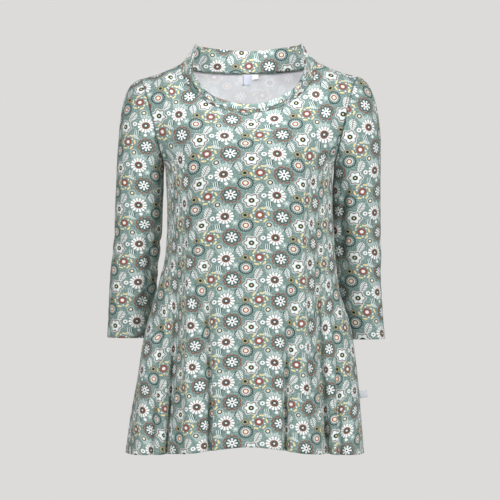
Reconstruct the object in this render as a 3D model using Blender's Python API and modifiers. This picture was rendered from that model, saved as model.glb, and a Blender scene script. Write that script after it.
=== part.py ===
"""A-line jersey tunic with a soft stand collar and three-quarter sleeves.

Metres, +Z up, front towards -Y, origin at the base of the neck between the shoulders.
Left and right are the wearer's, so the left sleeve is at +X.
"""

import math

import bpy
import numpy as np

MM = 0.001

# Cloth and seams
WALL = 1.6 * MM
BAND_WALL = 2.4 * MM
LABEL_WALL = 1.0 * MM
SEAM = 0.3 * MM
SIDE_GAP = 0.4 * MM
SHOULDER_GAP = 0.8 * MM
COLLAR_GAP = 1.1 * MM
ARMHOLE_GAP = 0.6 * MM

# Heights on the garment
ARMPIT = -190 * MM
HEM_SIDE = -720 * MM
HEM_CENTRE_FRONT = -696 * MM
HEM_CENTRE_BACK = -710 * MM
HEM_ARCH = 0.36
HEM_ARCH_SHARE = 0.55

# Neck seam
NECK_HALF = 127 * MM
NECK_FRONT = 78 * MM
NECK_BACK = 62 * MM
NECK_SIDE_HEIGHT = 5 * MM
NECK_FRONT_HEIGHT = -94 * MM
NECK_BACK_HEIGHT = -7 * MM

# Shoulder tips, where the armhole seam crosses the shoulder seam
TIP_REACH = 203 * MM
TIP_HEIGHT = -23 * MM
SHOULDER_TILT = 0.012
SHOULDER_SAG = 3 * MM
SHOULDER_SHARE = 0.72

# How the panels' edges run round each armhole: outwards, forwards or backwards, and up
ARMHOLE_LEAVE = (20 * MM, 190 * MM, 60 * MM)
ARMHOLE_ARRIVE = (42 * MM, 190 * MM, 30 * MM)
YOKE_ARRIVE = 0.95
ROWS_CLOSER_UP = 1.4

# Mesh counts
ACROSS = 44
ROWS_BELOW = 19
ROWS_ABOVE = 9
ROUND_SLEEVE = 28
CAP_ROWS = 8
SLEEVE_ROWS = 10
ROUND_COLLAR = 64
COLLAR_ROWS = 9


def table(names, rows):
    """Columns by name, with the first one rising from row to row. Rows are in millimetres or thousandths."""
    values = np.array(rows, dtype=float) * MM
    return dict(zip(names.split(), values.T))


# Direction in which the cloth comes up to a panel's top edge, by share of the half width from its centre:
# its parts towards the neck, towards the other panel and upwards.
YOKE_COLUMNS = "share inwards across up"
YOKE_FRONT = table(
    YOKE_COLUMNS,
    [
        (0, 0, 500, 870),
        (350, 150, 480, 860),
        (550, 500, 420, 750),
        (700, 650, 500, 500),
        (800, 200, 950, 150),
        (900, 0, 1000, 60),
        (1000, 0, 1000, 50),
    ],
)
YOKE_BACK = table(
    YOKE_COLUMNS,
    [
        (0, 0, 600, 800),
        (350, 200, 560, 760),
        (550, 400, 550, 600),
        (700, 500, 700, 400),
        (800, 150, 970, 120),
        (900, 0, 1000, 60),
        (1000, 0, 1000, 50),
    ],
)

# How far each panel swells out beside its armhole, to the side and to the front or back, by share of the half
# width.
ARMHOLE_SWELL = table(
    "share sideways front back",
    [
        (500, 0, 0, 0),
        (550, -1, 0.5, 0.5),
        (600, -2, 2.5, 2.5),
        (650, -3, 6, 5),
        (700, -1, 9.5, 8),
        (750, 1.5, 9.5, 8.5),
        (800, 4, 7.5, 7.5),
        (850, 4, 7, 7),
        (900, 3, 5.5, 6),
        (950, 1, 3, 3),
        (1000, 0, 0, 0),
    ],
)

# Body sections: how far the cloth reaches to each side, the front and the back, and how square it is.
BODY = table(
    "height right left front back square",
    [
        (-730, 231, 214, 150, 142, 45),
        (-660, 222, 208, 146, 136, 50),
        (-600, 211, 203, 142, 130, 60),
        (-507, 193, 190, 136, 121, 80),
        (-456, 183, 181, 133, 115, 90),
        (-426, 175, 171, 131, 112, 95),
        (-376, 159, 163, 129, 108, 100),
        (-314, 152, 158, 129, 105, 100),
        (-250, 153, 155, 130, 106, 90),
        (-190, 156, 156, 127, 108, 75),
        (-150, 158, 158, 119, 106, 60),
    ],
)

# Flare folds: where each lies at bust, hip and hem, how far it stands out there, and its half width.
FOLD_HEIGHTS = np.array([-720, -480, -235]) * MM
FOLD_COLUMNS = "x_hem x_hip x_bust out_hem out_hip out_bust width"
FRONT_FOLDS = table(
    FOLD_COLUMNS,
    [
        (-196, -170, -146, 5, 3, 0, 22),
        (-139, -129, -112, -11, -8, -3, 15),
        (-104, -102, -94, 5, 4, 1, 16),
        (-75, -76, -76, -7, -4, 0, 9),
        (63, 70, 73, -6, -4, 0, 10),
        (93, 91, 92, 5, 4, 2, 15),
        (143, 129, 121, -11, -8, -4, 14),
        (188, 163, 148, 5, 3, 1, 18),
    ],
)
BACK_FOLDS = table(
    FOLD_COLUMNS,
    [
        (-176, -158, -146, 6, 3, 0, 20),
        (-126, -113, -100, -11, -6, 0, 15),
        (-84, -78, -70, 8, 5, 1, 16),
        (-42, -41, -40, -9, -5, 0, 13),
        (-5, -6, -6, 6, 3, 0, 15),
        (36, 33, 30, -10, -5, 0, 14),
        (76, 70, 66, 8, 4, 1, 16),
        (118, 108, 98, -11, -6, 0, 15),
        (166, 152, 142, 6, 3, 0, 20),
    ],
)

# The hollow that each sleeve presses into the body, a little behind the side seam.
ARM_HOLLOW = {"height": -495 * MM, "reach": 95 * MM, "back": 26 * MM, "width": 28 * MM, "depth": 17 * MM}

# Drag folds from the armpits: start and end in the front view, how far each stands out, and its half width.
DRAG_FOLDS = table(
    "x0 z0 x1 z1 out width",
    [
        (-150, -172, -78, -158, -3, 9),
        (-150, -190, -88, -205, -3, 9),
        (-160, -150, -105, -118, -2, 9),
        (150, -172, 80, -160, -3, 9),
        (148, -192, 92, -212, -3, 9),
        (160, -150, 105, -120, -2, 9),
    ],
)

# Sleeve sections: inner and outer edge, middle from front to back, and half depth.
SLEEVE_TOP = -235 * MM
SLEEVE_RADIUS = 48 * MM
CAP_LEAVE = 0.68
CAP_ARRIVE = 1.1
SLEEVE_COLUMNS = "height inner outer middle half"
SLEEVES = {
    "sleeve_right": table(
        SLEEVE_COLUMNS,
        [
            (-508, 184, 266.5, 28, 45),
            (-456, 178, 264, 26, 47),
            (-420, 174, 262, 23, 48),
            (-376, 169, 259, 18, 50),
            (-315, 164, 253.5, 11, 52),
            (-235, 160, 248, 5, 53),
        ],
    ),
    "sleeve_left": table(
        SLEEVE_COLUMNS,
        [
            (-511, 182, 256, 34, 44),
            (-456, 173.5, 252, 38, 46),
            (-420, 168, 250, 40, 47),
            (-376, 161.8, 249, 40, 49),
            (-315, 158.2, 248, 36, 50),
            (-235, 156.5, 247, 20, 51),
        ],
    ),
}

# Elbow creases on a sleeve: turn round it from its outer line, height, how far each stands out, half widths.
ELBOW_CREASES = (
    {"turn": math.radians(230), "height": -330 * MM, "out": -3 * MM, "width": 26 * MM, "tall": 14 * MM},
    {"turn": math.radians(200), "height": -372 * MM, "out": -4 * MM, "width": 24 * MM, "tall": 13 * MM},
    {"turn": math.radians(60), "height": -345 * MM, "out": -3 * MM, "width": 22 * MM, "tall": 12 * MM},
)

# Collar by degrees from centre front: lean off the vertical at its seam and at its top, outwards positive,
# where along its height the turn begins and ends, and how tall the band is.
COLLAR = table(
    "angle seam top begin end tall",
    [
        (0, -30, 165, 330, 800, 30),
        (25, -30, 160, 320, 800, 32),
        (48, -34, 118, 300, 860, 39),
        (66, -40, 30, 320, 1000, 43),
        (82, -44, -25, 200, 1000, 44.5),
        (100, -43, -25, 0, 1000, 46.5),
        (140, -29, -14, 0, 1000, 45.5),
        (180, -24, -8, 0, 1000, 41),
    ],
)

LABELS = {
    "neck_label": {"x": (-11 * MM, 4 * MM), "drop": (1.2 * MM, 24 * MM), "off": 1.2 * MM},
    "size_tag": {"x": (6.5 * MM, 18.7 * MM), "drop": (1.2 * MM, 11.5 * MM), "off": 2.4 * MM},
}
SIDE_LABEL = {"height": -615 * MM, "long": 17 * MM, "tall": 13 * MM, "tilt": math.radians(8)}

CLOTH_COLOUR = (0.22, 0.31, 0.27, 1)
LABEL_COLOUR = (0.82, 0.82, 0.85, 1)


def smooth_line(at, xs, ys):
    """Value at a place on a smooth line through the points."""
    slopes = np.gradient(ys, xs)
    i = np.clip(np.searchsorted(xs, at) - 1, 0, len(xs) - 2)
    span = xs[i + 1] - xs[i]
    t = np.clip((at - xs[i]) / span, 0, 1)
    rise = t * t * (3 - 2 * t)
    return (
        ys[i] * (1 - rise)
        + ys[i + 1] * rise
        + slopes[i] * span * t * (1 - t) ** 2
        - slopes[i + 1] * span * t * t * (1 - t)
    )


def column(rows, name, height):
    return smooth_line(height, rows["height"], rows[name])


def ease(t):
    t = np.clip(t, 0, 1)
    return t * t * (3 - 2 * t)


def unit(vectors):
    return vectors / np.linalg.norm(vectors, axis=-1, keepdims=True)


def plain_body(angle, height):
    """Body section without folds. The angle is 0 at centre front and a quarter turn at the left side."""
    side = np.where(np.sin(angle) > 0, column(BODY, "left", height), column(BODY, "right", height))
    depth = np.where(np.cos(angle) > 0, column(BODY, "front", height), column(BODY, "back", height))
    swell = 1 + column(BODY, "square", height) * np.sin(2 * angle) ** 2
    return side * np.sin(angle) * swell, -depth * np.cos(angle) * swell


def angle_at(x, height, back):
    """Angle round the body of a place seen at x in the front or back view."""
    side = np.where(x > 0, column(BODY, "left", height), column(BODY, "right", height))
    square = column(BODY, "square", height)
    angle = np.zeros_like(x)
    for _ in range(5):
        angle = np.arcsin(np.clip(x / side / (1 + square * np.sin(2 * angle) ** 2), -1, 1))
    return np.pi - angle if back else angle


def around(angle):
    return (angle + np.pi) % (2 * np.pi) - np.pi


def fold_out(angle, height, folds, back):
    """How far the flare folds stand out of the plain body at a place on it."""
    total = np.zeros(np.broadcast(angle, height).shape)
    reach = 0.5 * (column(BODY, "left", height) + column(BODY, "front", height))
    level = np.clip(height, FOLD_HEIGHTS[0], FOLD_HEIGHTS[-1])
    fade = ease((ARMPIT - height) / (60 * MM))
    for i in range(len(folds["width"])):
        x = smooth_line(level, FOLD_HEIGHTS, np.array([folds[f"x_{at}"][i] for at in ("hem", "hip", "bust")]))
        out = smooth_line(level, FOLD_HEIGHTS, np.array([folds[f"out_{at}"][i] for at in ("hem", "hip", "bust")]))
        away = around(angle - angle_at(x, height, back)) * reach
        total = total + fade * out * np.exp(-((away / folds["width"][i]) ** 2))
    return total


def hollow_in(y, height):
    """Depth of the hollow that the hanging sleeve presses into the body's side."""
    along = (height - ARM_HOLLOW["height"]) / ARM_HOLLOW["reach"]
    across = (y - ARM_HOLLOW["back"]) / ARM_HOLLOW["width"]
    return ARM_HOLLOW["depth"] * np.exp(-(along**2) - across**2)


def body_point(angle, height, back):
    """Point of the body's cloth with its flare folds and the hollows under the arms."""
    step = 1e-4
    x, y = plain_body(angle, height)
    x2, y2 = plain_body(angle + step, height)
    x1, y1 = plain_body(angle - step, height)
    out = unit(np.stack([y2 - y1, x1 - x2], axis=-1))
    folds = BACK_FOLDS if back else FRONT_FOLDS
    push = fold_out(angle, height, folds, back) - hollow_in(y, height) * np.abs(np.sin(angle)) ** 6
    return np.stack([x + push * out[..., 0], y + push * out[..., 1], height + 0 * x], axis=-1)


def neck_seam(turn):
    """Point of the neck seam, at a turn of 0 in centre front and a quarter turn at the left side."""
    front = np.cos(turn) > 0
    share = np.abs(np.cos(turn)) ** 1.05
    drop = np.where(front, NECK_FRONT_HEIGHT, NECK_BACK_HEIGHT) - NECK_SIDE_HEIGHT
    depth = np.where(front, NECK_FRONT, NECK_BACK)
    y = -np.sign(np.cos(turn)) * depth * np.abs(np.cos(turn)) ** 0.75
    x = NECK_HALF * np.sin(turn)
    return np.stack([x, y, NECK_SIDE_HEIGHT + drop * share + SHOULDER_TILT * x], axis=-1)


def top_edge(u, back):
    """Top edge of a panel: shoulder seam, neckline, shoulder seam."""
    turn = np.clip(u / SHOULDER_SHARE, -1, 1) * np.pi / 2
    neck = neck_seam(np.pi - turn if back else turn)
    out = np.clip((np.abs(u) - SHOULDER_SHARE) / (1 - SHOULDER_SHARE), 0, 1)[..., None]
    tip_x = np.sign(u) * TIP_REACH
    tip = np.stack([tip_x, 0 * u, TIP_HEIGHT + SHOULDER_TILT * tip_x], axis=-1)
    sag = np.array([0, 0, -SHOULDER_SAG]) * np.sin(np.pi * out)
    return neck + (tip - neck) * out + sag


def hem_height(angle, back):
    centre = HEM_CENTRE_BACK if back else HEM_CENTRE_FRONT
    arch = 0 if back else HEM_ARCH_SHARE
    rise = arch * np.exp(-((np.sin(angle) / HEM_ARCH) ** 2)) + (1 - arch) * np.cos(angle) ** 2
    return HEM_SIDE + (centre - HEM_SIDE) * rise


def armhole_run(side, face, run):
    out, along, up = run
    return np.stack([side * out, face * along + 0 * side, up + 0 * side], axis=-1)


def yoke_point(u, s, back):
    """Point of a panel above the armpit, at s of 0 on the armpit line and 1 on the top edge."""
    face = 1 if back else -1
    angle = np.pi - u * np.pi / 2 if back else u * np.pi / 2
    low = body_point(angle, ARMPIT + 0 * u, back)
    step = 2 * MM
    climb = unit(body_point(angle, ARMPIT + step + 0 * u, back) - body_point(angle, ARMPIT - step + 0 * u, back))
    high = top_edge(u, back)
    length = np.linalg.norm(high - low, axis=-1, keepdims=True)
    edge = (np.abs(u) ** 5)[..., None]
    side = np.sign(u)
    leave = (1 - edge) * climb * length + edge * armhole_run(side, face, ARMHOLE_LEAVE)
    yoke = YOKE_BACK if back else YOKE_FRONT
    share = np.abs(u)
    inwards, across, up = (smooth_line(share, yoke["share"], yoke[name]) for name in ("inwards", "across", "up"))
    slope_in = np.stack([-side * inwards, -face * across, up], axis=-1)
    arrive = (1 - edge) * unit(slope_in) * length * YOKE_ARRIVE + edge * armhole_run(side, -face, ARMHOLE_ARRIVE)
    s = np.asarray(s)[..., None]
    point = (
        low * (1 - s) ** 2 * (1 + 2 * s)
        + leave * s * (1 - s) ** 2
        + high * s * s * (3 - 2 * s)
        - arrive * s * s * (1 - s)
    )
    s = s[..., 0]
    sideways, forwards = (
        smooth_line(share, ARMHOLE_SWELL["share"], ARMHOLE_SWELL[name])
        for name in ("sideways", "back" if back else "front")
    )
    point[..., 0] += side * sideways * 4 * s * (1 - s)
    point[..., 1] += face * forwards * 4 * s * (1 - s)
    point[..., 1] += face * (SIDE_GAP + (SHOULDER_GAP - SIDE_GAP) * s**2) / 2
    return point


def drag(points):
    """How far the drag folds from the armpits stand out at points of the front."""
    total = np.zeros(points.shape[:-1])
    for i in range(len(DRAG_FOLDS["out"])):
        start = np.array([DRAG_FOLDS["x0"][i], DRAG_FOLDS["z0"][i]])
        line = np.array([DRAG_FOLDS["x1"][i], DRAG_FOLDS["z1"][i]]) - start
        place = points[..., [0, 2]] - start
        t = np.clip(place @ line / (line @ line), 0, 1)
        away = np.linalg.norm(place - t[..., None] * line, axis=-1) / DRAG_FOLDS["width"][i]
        total += DRAG_FOLDS["out"][i] * (1 - 0.7 * t) * np.exp(-(away**2))
    return total


def grid_normals(points):
    along = np.gradient(points, axis=0)
    across = np.gradient(points, axis=1)
    return unit(np.cross(across, along))


def panel_points(back):
    """Grid of a panel: rows from hem to top edge, columns from the right edge to the left."""
    u = np.linspace(-1, 1, ACROSS + 1)
    angle = np.pi - u * np.pi / 2 if back else u * np.pi / 2
    down = np.linspace(1, 0, ROWS_BELOW + 1)[:, None]
    height = ARMPIT + (hem_height(angle, back) - ARMPIT) * down
    low = body_point(angle + 0 * height, height, back)
    low[..., 1] += (SIDE_GAP if back else -SIDE_GAP) / 2
    up = 1 - np.linspace(1, 0, ROWS_ABOVE + 1)[1:, None] ** ROWS_CLOSER_UP
    high = yoke_point(u + 0 * up, up + 0 * u, back)
    points = np.concatenate([low, high])
    if not back:
        push = drag(points) * (1 - np.abs(u) ** 8)
        points += grid_normals(points) * push[..., None]
    return points


def sleeve_ring(rows, side, turn, height):
    """Point of a hanging sleeve. The turn is 0 on its outer line and a quarter turn in front."""
    inner, outer = column(rows, "inner", height), column(rows, "outer", height)
    half = column(rows, "half", height)
    squash = 1 + 0.04 * np.sin(2 * turn) ** 2
    x = side * ((inner + outer) / 2 + (outer - inner) / 2 * np.cos(turn) * squash)
    y = column(rows, "middle", height) - half * np.sin(turn) * squash
    return np.stack([x, y, height + 0 * x], axis=-1)


def armhole(side, turn):
    """Seam edge of the sleeve, clear of the panels' edges. The turn is 0 at the shoulder and pi underarm."""
    back = turn > np.pi
    s = np.abs(1 - turn / np.pi)
    u = side * np.ones_like(turn)
    edge = np.where(back[..., None], yoke_point(u, s, True), yoke_point(u, s, False))
    edge[..., 0] += side * (ARMHOLE_GAP + WALL / 2 * (1 - np.cos(turn)))
    return edge


def sleeve_points(name):
    """Grid of a sleeve: rows from armhole to cuff, columns round it."""
    rows = SLEEVES[name]
    side = 1 if name == "sleeve_left" else -1
    turn = np.linspace(0, 2 * np.pi, ROUND_SLEEVE, endpoint=False)
    start = armhole(side, turn)
    end = sleeve_ring(rows, side, turn, SLEEVE_TOP + 0 * turn)
    below = sleeve_ring(rows, side, turn, SLEEVE_TOP - 2 * MM + 0 * turn)
    chord = np.linalg.norm(end - start, axis=-1, keepdims=True)
    under = (0.5 - 0.5 * np.cos(turn))[:, None]
    leave = unit((1 - under) * np.array([side, 0, -0.3]) + under * np.array([side * 0.15, 0, -1])) * chord * CAP_LEAVE
    arrive = unit(below - end) * chord * CAP_ARRIVE
    s = np.linspace(0, 1, CAP_ROWS + 1)[:, None, None]
    cap = (
        start * (1 - s) ** 2 * (1 + 2 * s)
        + leave * s * (1 - s) ** 2
        + end * s * s * (3 - 2 * s)
        - arrive * s * s * (1 - s)
    )
    height = np.linspace(SLEEVE_TOP, rows["height"][0], SLEEVE_ROWS + 1)[1:, None]
    tube = sleeve_ring(rows, side, turn + 0 * height, height + 0 * turn)
    points = np.concatenate([cap, tube])
    push = np.zeros(points.shape[:2])
    for crease in ELBOW_CREASES:
        across = around(turn - crease["turn"]) * SLEEVE_RADIUS / crease["width"]
        along = (points[..., 2] - crease["height"]) / crease["tall"]
        push += crease["out"] * np.exp(-(across**2) - along**2)
    centre = points.mean(axis=1, keepdims=True)
    return points + unit((points - centre) * np.array([1, 1, 0])) * push[..., None]


def collar_points():
    """Grid of the collar band: rows from the neck seam to its folded top edge, columns round the neck."""
    turn = np.linspace(-np.pi, np.pi, ROUND_COLLAR, endpoint=False)
    base = neck_seam(turn)
    step = 1e-3
    ahead = neck_seam(turn + step) - neck_seam(turn - step)
    out = unit(np.stack([ahead[:, 1], -ahead[:, 0]], axis=-1))
    degrees = np.degrees(np.abs(turn)) * MM
    lean = {name: smooth_line(degrees, COLLAR["angle"], COLLAR[name]) / MM for name in ("seam", "top")}
    begin = smooth_line(degrees, COLLAR["angle"], COLLAR["begin"])
    end = smooth_line(degrees, COLLAR["angle"], COLLAR["end"])
    stride = smooth_line(degrees, COLLAR["angle"], COLLAR["tall"])[:, None] / COLLAR_ROWS
    rows = []
    for k in range(COLLAR_ROWS):
        t = ease(((k + 0.5) / COLLAR_ROWS - begin) / (end - begin))
        tilt = np.radians(lean["seam"] + (lean["top"] - lean["seam"]) * t)
        move = np.stack([out[:, 0] * np.sin(tilt), out[:, 1] * np.sin(tilt), np.cos(tilt)], axis=-1)
        if not rows:
            rows.append(base + move * COLLAR_GAP)
        rows.append(rows[-1] + move * stride)
    return np.stack(rows)


def label_points(spec):
    """Grid of a label that hangs inside the back neck, off the back panel's inner face."""
    x = np.linspace(*spec["x"], 4)
    u = np.arcsin(x / NECK_HALF) / (np.pi / 2) * SHOULDER_SHARE
    length = NECK_BACK_HEIGHT - ARMPIT
    s = 1 - np.linspace(*spec["drop"][::-1], 5)[:, None] / length
    points = yoke_point(u + 0 * s, s + 0 * u, True)
    off = WALL / 2 + SEAM + LABEL_WALL / 2 + spec["off"] * (1 - s) / (1 - s.min())
    return points + grid_normals(points) * off[..., None]


def side_label_points():
    """Grid of the tab that stands out of the left side seam."""
    up = SIDE_LABEL["height"] + np.linspace(-0.5, 0.5, 4) * SIDE_LABEL["tall"]
    root = body_point(np.pi / 2 + 0 * up, up, False)[:, None]
    along = np.linspace(0, SIDE_LABEL["long"], 4)
    tilt = SIDE_LABEL["tilt"]
    x = WALL / 2 + SEAM + along * math.cos(tilt)
    return root + np.stack([x, 0 * x, along * math.sin(tilt)], axis=-1)


def material(name, colour, roughness):
    made = bpy.data.materials.new(name)
    made.use_nodes = True
    shader = made.node_tree.nodes["Principled BSDF"]
    shader.inputs["Base Color"].default_value = colour
    shader.inputs["Roughness"].default_value = roughness
    shader.inputs["Metallic"].default_value = 0
    return made


def shell(name, points, thickness, closed, finish, collection):
    """One cloth piece: an open surface through a grid of points, given its wall by Solidify."""
    rows, columns = points.shape[:2]
    quads = []
    for r in range(rows - 1):
        for c in range(columns if closed else columns - 1):
            nxt = (c + 1) % columns
            quads.append((r * columns + c, r * columns + nxt, (r + 1) * columns + nxt, (r + 1) * columns + c))
    mesh = bpy.data.meshes.new(name)
    mesh.from_pydata(points.reshape(-1, 3).tolist(), [], quads)
    mesh.validate()
    mesh.shade_smooth()
    mesh.materials.append(material(name, *finish))
    piece = bpy.data.objects.new(name, mesh)
    collection.objects.link(piece)
    wall = piece.modifiers.new("wall", "SOLIDIFY")
    wall.thickness = thickness
    wall.offset = 0
    wall.use_rim = True
    return piece


def build():
    for old in list(bpy.data.objects):
        bpy.data.objects.remove(old)
    garment = bpy.data.collections.new("a_line_tunic")
    bpy.context.scene.collection.children.link(garment)
    cloth = (CLOTH_COLOUR, 0.85)
    ribbon = (LABEL_COLOUR, 0.6)
    shell("front", panel_points(False), WALL, False, cloth, garment)
    shell("back", panel_points(True)[:, ::-1], WALL, False, cloth, garment)
    for name in SLEEVES:
        points = sleeve_points(name)
        shell(name, points[:, ::-1] if name == "sleeve_left" else points, WALL, True, cloth, garment)
    shell("collar", collar_points(), BAND_WALL, True, cloth, garment)
    for name, spec in LABELS.items():
        shell(name, label_points(spec), LABEL_WALL, False, ribbon, garment)
    shell("side_label", side_label_points(), LABEL_WALL, False, ribbon, garment)


build()
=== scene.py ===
"""The a-line jersey tunic's cloth, print, sewing and labels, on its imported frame.

Metres, +Z up, front towards -Y, the wearer's left towards +X. Flat cloth is measured in metres too.
"""

import math

import bpy
import mathutils
import numpy as np
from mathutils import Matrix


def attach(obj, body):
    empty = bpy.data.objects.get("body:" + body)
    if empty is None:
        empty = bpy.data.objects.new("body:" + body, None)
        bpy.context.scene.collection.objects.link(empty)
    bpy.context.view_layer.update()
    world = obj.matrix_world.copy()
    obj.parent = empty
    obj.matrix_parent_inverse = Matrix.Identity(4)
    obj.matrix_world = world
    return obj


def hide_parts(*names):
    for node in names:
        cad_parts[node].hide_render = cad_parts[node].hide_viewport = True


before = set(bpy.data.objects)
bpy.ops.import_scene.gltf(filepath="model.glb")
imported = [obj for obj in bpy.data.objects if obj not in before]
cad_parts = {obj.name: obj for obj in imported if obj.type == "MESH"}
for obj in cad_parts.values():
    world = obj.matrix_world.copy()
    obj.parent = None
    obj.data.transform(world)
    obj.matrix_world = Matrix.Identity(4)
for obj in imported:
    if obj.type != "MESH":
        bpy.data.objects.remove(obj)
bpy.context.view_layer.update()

MM = 0.001

# Cloth and seams
WALL = 1.6 * MM
LABEL_WALL = 1.0 * MM
SEAM = 0.3 * MM
SIDE_GAP = 0.4 * MM
SHOULDER_GAP = 0.8 * MM
COLLAR_GAP = 1.1 * MM
ARMHOLE_GAP = 0.6 * MM

# Heights on the garment
ARMPIT = -190 * MM
HEM_SIDE = -720 * MM
HEM_CENTRE_FRONT = -696 * MM
HEM_CENTRE_BACK = -710 * MM
HEM_ARCH = 0.36
HEM_ARCH_SHARE = 0.55

# Neck seam
NECK_HALF = 127 * MM
NECK_FRONT = 78 * MM
NECK_BACK = 62 * MM
NECK_SIDE_HEIGHT = 5 * MM
NECK_FRONT_HEIGHT = -94 * MM
NECK_BACK_HEIGHT = -7 * MM

# Shoulder tips, where the armhole seam crosses the shoulder seam
TIP_REACH = 203 * MM
TIP_HEIGHT = -23 * MM
SHOULDER_TILT = 0.012
SHOULDER_SAG = 3 * MM
SHOULDER_SHARE = 0.72

# How the panels' edges run round each armhole: outwards, forwards or backwards, and up
ARMHOLE_LEAVE = (20 * MM, 190 * MM, 60 * MM)
ARMHOLE_ARRIVE = (42 * MM, 190 * MM, 30 * MM)
YOKE_ARRIVE = 0.95
ROWS_CLOSER_UP = 1.4

# Mesh counts
ACROSS = 320
ROWS_BELOW = 95
ROWS_ABOVE = 40
ROUND_SLEEVE = 120
CAP_ROWS = 36
SLEEVE_ROWS = 90
ROUND_COLLAR = 240
COLLAR_ROWS = 30


def table(names, *rows):
    """Columns by name. The rows are in millimetres or thousandths."""
    values = np.array(rows, dtype=float) * MM
    return dict(zip(names.split(), values.T))


# Direction in which the cloth comes up to a panel's top edge, by share of the half width from its centre:
# its parts towards the neck, towards the other panel and upwards.
YOKE_COLUMNS = "share inwards across up"
YOKE_FRONT = table(
    YOKE_COLUMNS,
    (0, 0, 500, 870),
    (350, 150, 480, 860),
    (550, 500, 420, 750),
    (700, 650, 500, 500),
    (800, 200, 950, 150),
    (900, 0, 1000, 60),
    (1000, 0, 1000, 50),
)
YOKE_BACK = table(
    YOKE_COLUMNS,
    (0, 0, 600, 800),
    (350, 200, 560, 760),
    (550, 400, 550, 600),
    (700, 500, 700, 400),
    (800, 150, 970, 120),
    (900, 0, 1000, 60),
    (1000, 0, 1000, 50),
)

# How far each panel swells out beside its armhole, to the side and to the front or back, by share of the half
# width.
ARMHOLE_SWELL = table(
    "share sideways front back",
    (500, 0, 0, 0),
    (550, -1, 0.5, 0.5),
    (600, -2, 2.5, 2.5),
    (650, -3, 6, 5),
    (700, -1, 9.5, 8),
    (750, 1.5, 9.5, 8.5),
    (800, 4, 7.5, 7.5),
    (850, 4, 7, 7),
    (900, 3, 5.5, 6),
    (950, 1, 3, 3),
    (1000, 0, 0, 0),
)

# Body sections: how far the cloth reaches to each side, the front and the back, and how square it is.
BODY = table(
    "height right left front back square",
    (-730, 231, 214, 150, 142, 45),
    (-660, 222, 208, 146, 136, 50),
    (-600, 211, 203, 142, 130, 60),
    (-507, 193, 190, 136, 121, 80),
    (-456, 183, 181, 133, 115, 90),
    (-426, 175, 171, 131, 112, 95),
    (-376, 159, 163, 129, 108, 100),
    (-314, 152, 158, 129, 105, 100),
    (-250, 153, 155, 130, 106, 90),
    (-190, 156, 156, 127, 108, 75),
    (-150, 158, 158, 119, 106, 60),
)

# Flare folds: where each lies at bust, hip and hem, how far it stands out there, and its half width.
FOLD_HEIGHTS = np.array([-720, -480, -235]) * MM
FOLD_COLUMNS = "x_hem x_hip x_bust out_hem out_hip out_bust width"
FRONT_FOLDS = table(
    FOLD_COLUMNS,
    (-196, -170, -146, 5, 3, 0, 22),
    (-139, -129, -112, -11, -8, -3, 15),
    (-104, -102, -94, 5, 4, 1, 16),
    (-75, -76, -76, -7, -4, 0, 9),
    (63, 70, 73, -6, -4, 0, 10),
    (93, 91, 92, 5, 4, 2, 15),
    (143, 129, 121, -11, -8, -4, 14),
    (188, 163, 148, 5, 3, 1, 18),
)
BACK_FOLDS = table(
    FOLD_COLUMNS,
    (-176, -158, -146, 6, 3, 0, 20),
    (-126, -113, -100, -11, -6, 0, 15),
    (-84, -78, -70, 8, 5, 1, 16),
    (-42, -41, -40, -9, -5, 0, 13),
    (-5, -6, -6, 6, 3, 0, 15),
    (36, 33, 30, -10, -5, 0, 14),
    (76, 70, 66, 8, 4, 1, 16),
    (118, 108, 98, -11, -6, 0, 15),
    (166, 152, 142, 6, 3, 0, 20),
)

# The hollow that each sleeve presses into the body, a little behind the side seam.
ARM_HOLLOW = {"height": -495 * MM, "reach": 95 * MM, "back": 26 * MM, "width": 28 * MM, "depth": 17 * MM}

# Drag folds from the armpits: start and end in the front view, how far each stands out, and its half width.
DRAG_FOLDS = table(
    "x0 z0 x1 z1 out width",
    (-150, -172, -78, -158, -3, 9),
    (-150, -190, -88, -205, -3, 9),
    (-160, -150, -105, -118, -2, 9),
    (150, -172, 80, -160, -3, 9),
    (148, -192, 92, -212, -3, 9),
    (160, -150, 105, -120, -2, 9),
)

# Sleeve sections: inner and outer edge, middle from front to back, and half depth.
SLEEVE_TOP = -235 * MM
SLEEVE_RADIUS = 48 * MM
CAP_LEAVE = 0.68
CAP_ARRIVE = 1.1
SLEEVE_COLUMNS = "height inner outer middle half"
SLEEVES = {
    "sleeve_right": table(
        SLEEVE_COLUMNS,
        (-508, 184, 266.5, 28, 45),
        (-456, 178, 264, 26, 47),
        (-420, 174, 262, 23, 48),
        (-376, 169, 259, 18, 50),
        (-315, 164, 253.5, 11, 52),
        (-235, 160, 248, 5, 53),
    ),
    "sleeve_left": table(
        SLEEVE_COLUMNS,
        (-511, 182, 256, 34, 44),
        (-456, 173.5, 252, 38, 46),
        (-420, 168, 250, 40, 47),
        (-376, 161.8, 249, 40, 49),
        (-315, 158.2, 248, 36, 50),
        (-235, 156.5, 247, 20, 51),
    ),
}

# Elbow creases on a sleeve: turn round it from its outer line, height, how far each stands out, half widths.
ELBOW_CREASES = (
    {"turn": math.radians(230), "height": -330 * MM, "out": -3 * MM, "width": 26 * MM, "tall": 14 * MM},
    {"turn": math.radians(200), "height": -372 * MM, "out": -4 * MM, "width": 24 * MM, "tall": 13 * MM},
    {"turn": math.radians(60), "height": -345 * MM, "out": -3 * MM, "width": 22 * MM, "tall": 12 * MM},
)

# Collar by degrees from centre front: lean off the vertical at its seam and at its top, outwards positive,
# where along its height the turn begins and ends, and how tall the band is.
COLLAR = table(
    "angle seam top begin end tall",
    (0, -30, 165, 330, 800, 30),
    (25, -30, 160, 320, 800, 32),
    (48, -34, 118, 300, 860, 39),
    (66, -40, 30, 320, 1000, 43),
    (82, -44, -25, 200, 1000, 44.5),
    (100, -43, -25, 0, 1000, 46.5),
    (140, -29, -14, 0, 1000, 45.5),
    (180, -24, -8, 0, 1000, 41),
)

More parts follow.
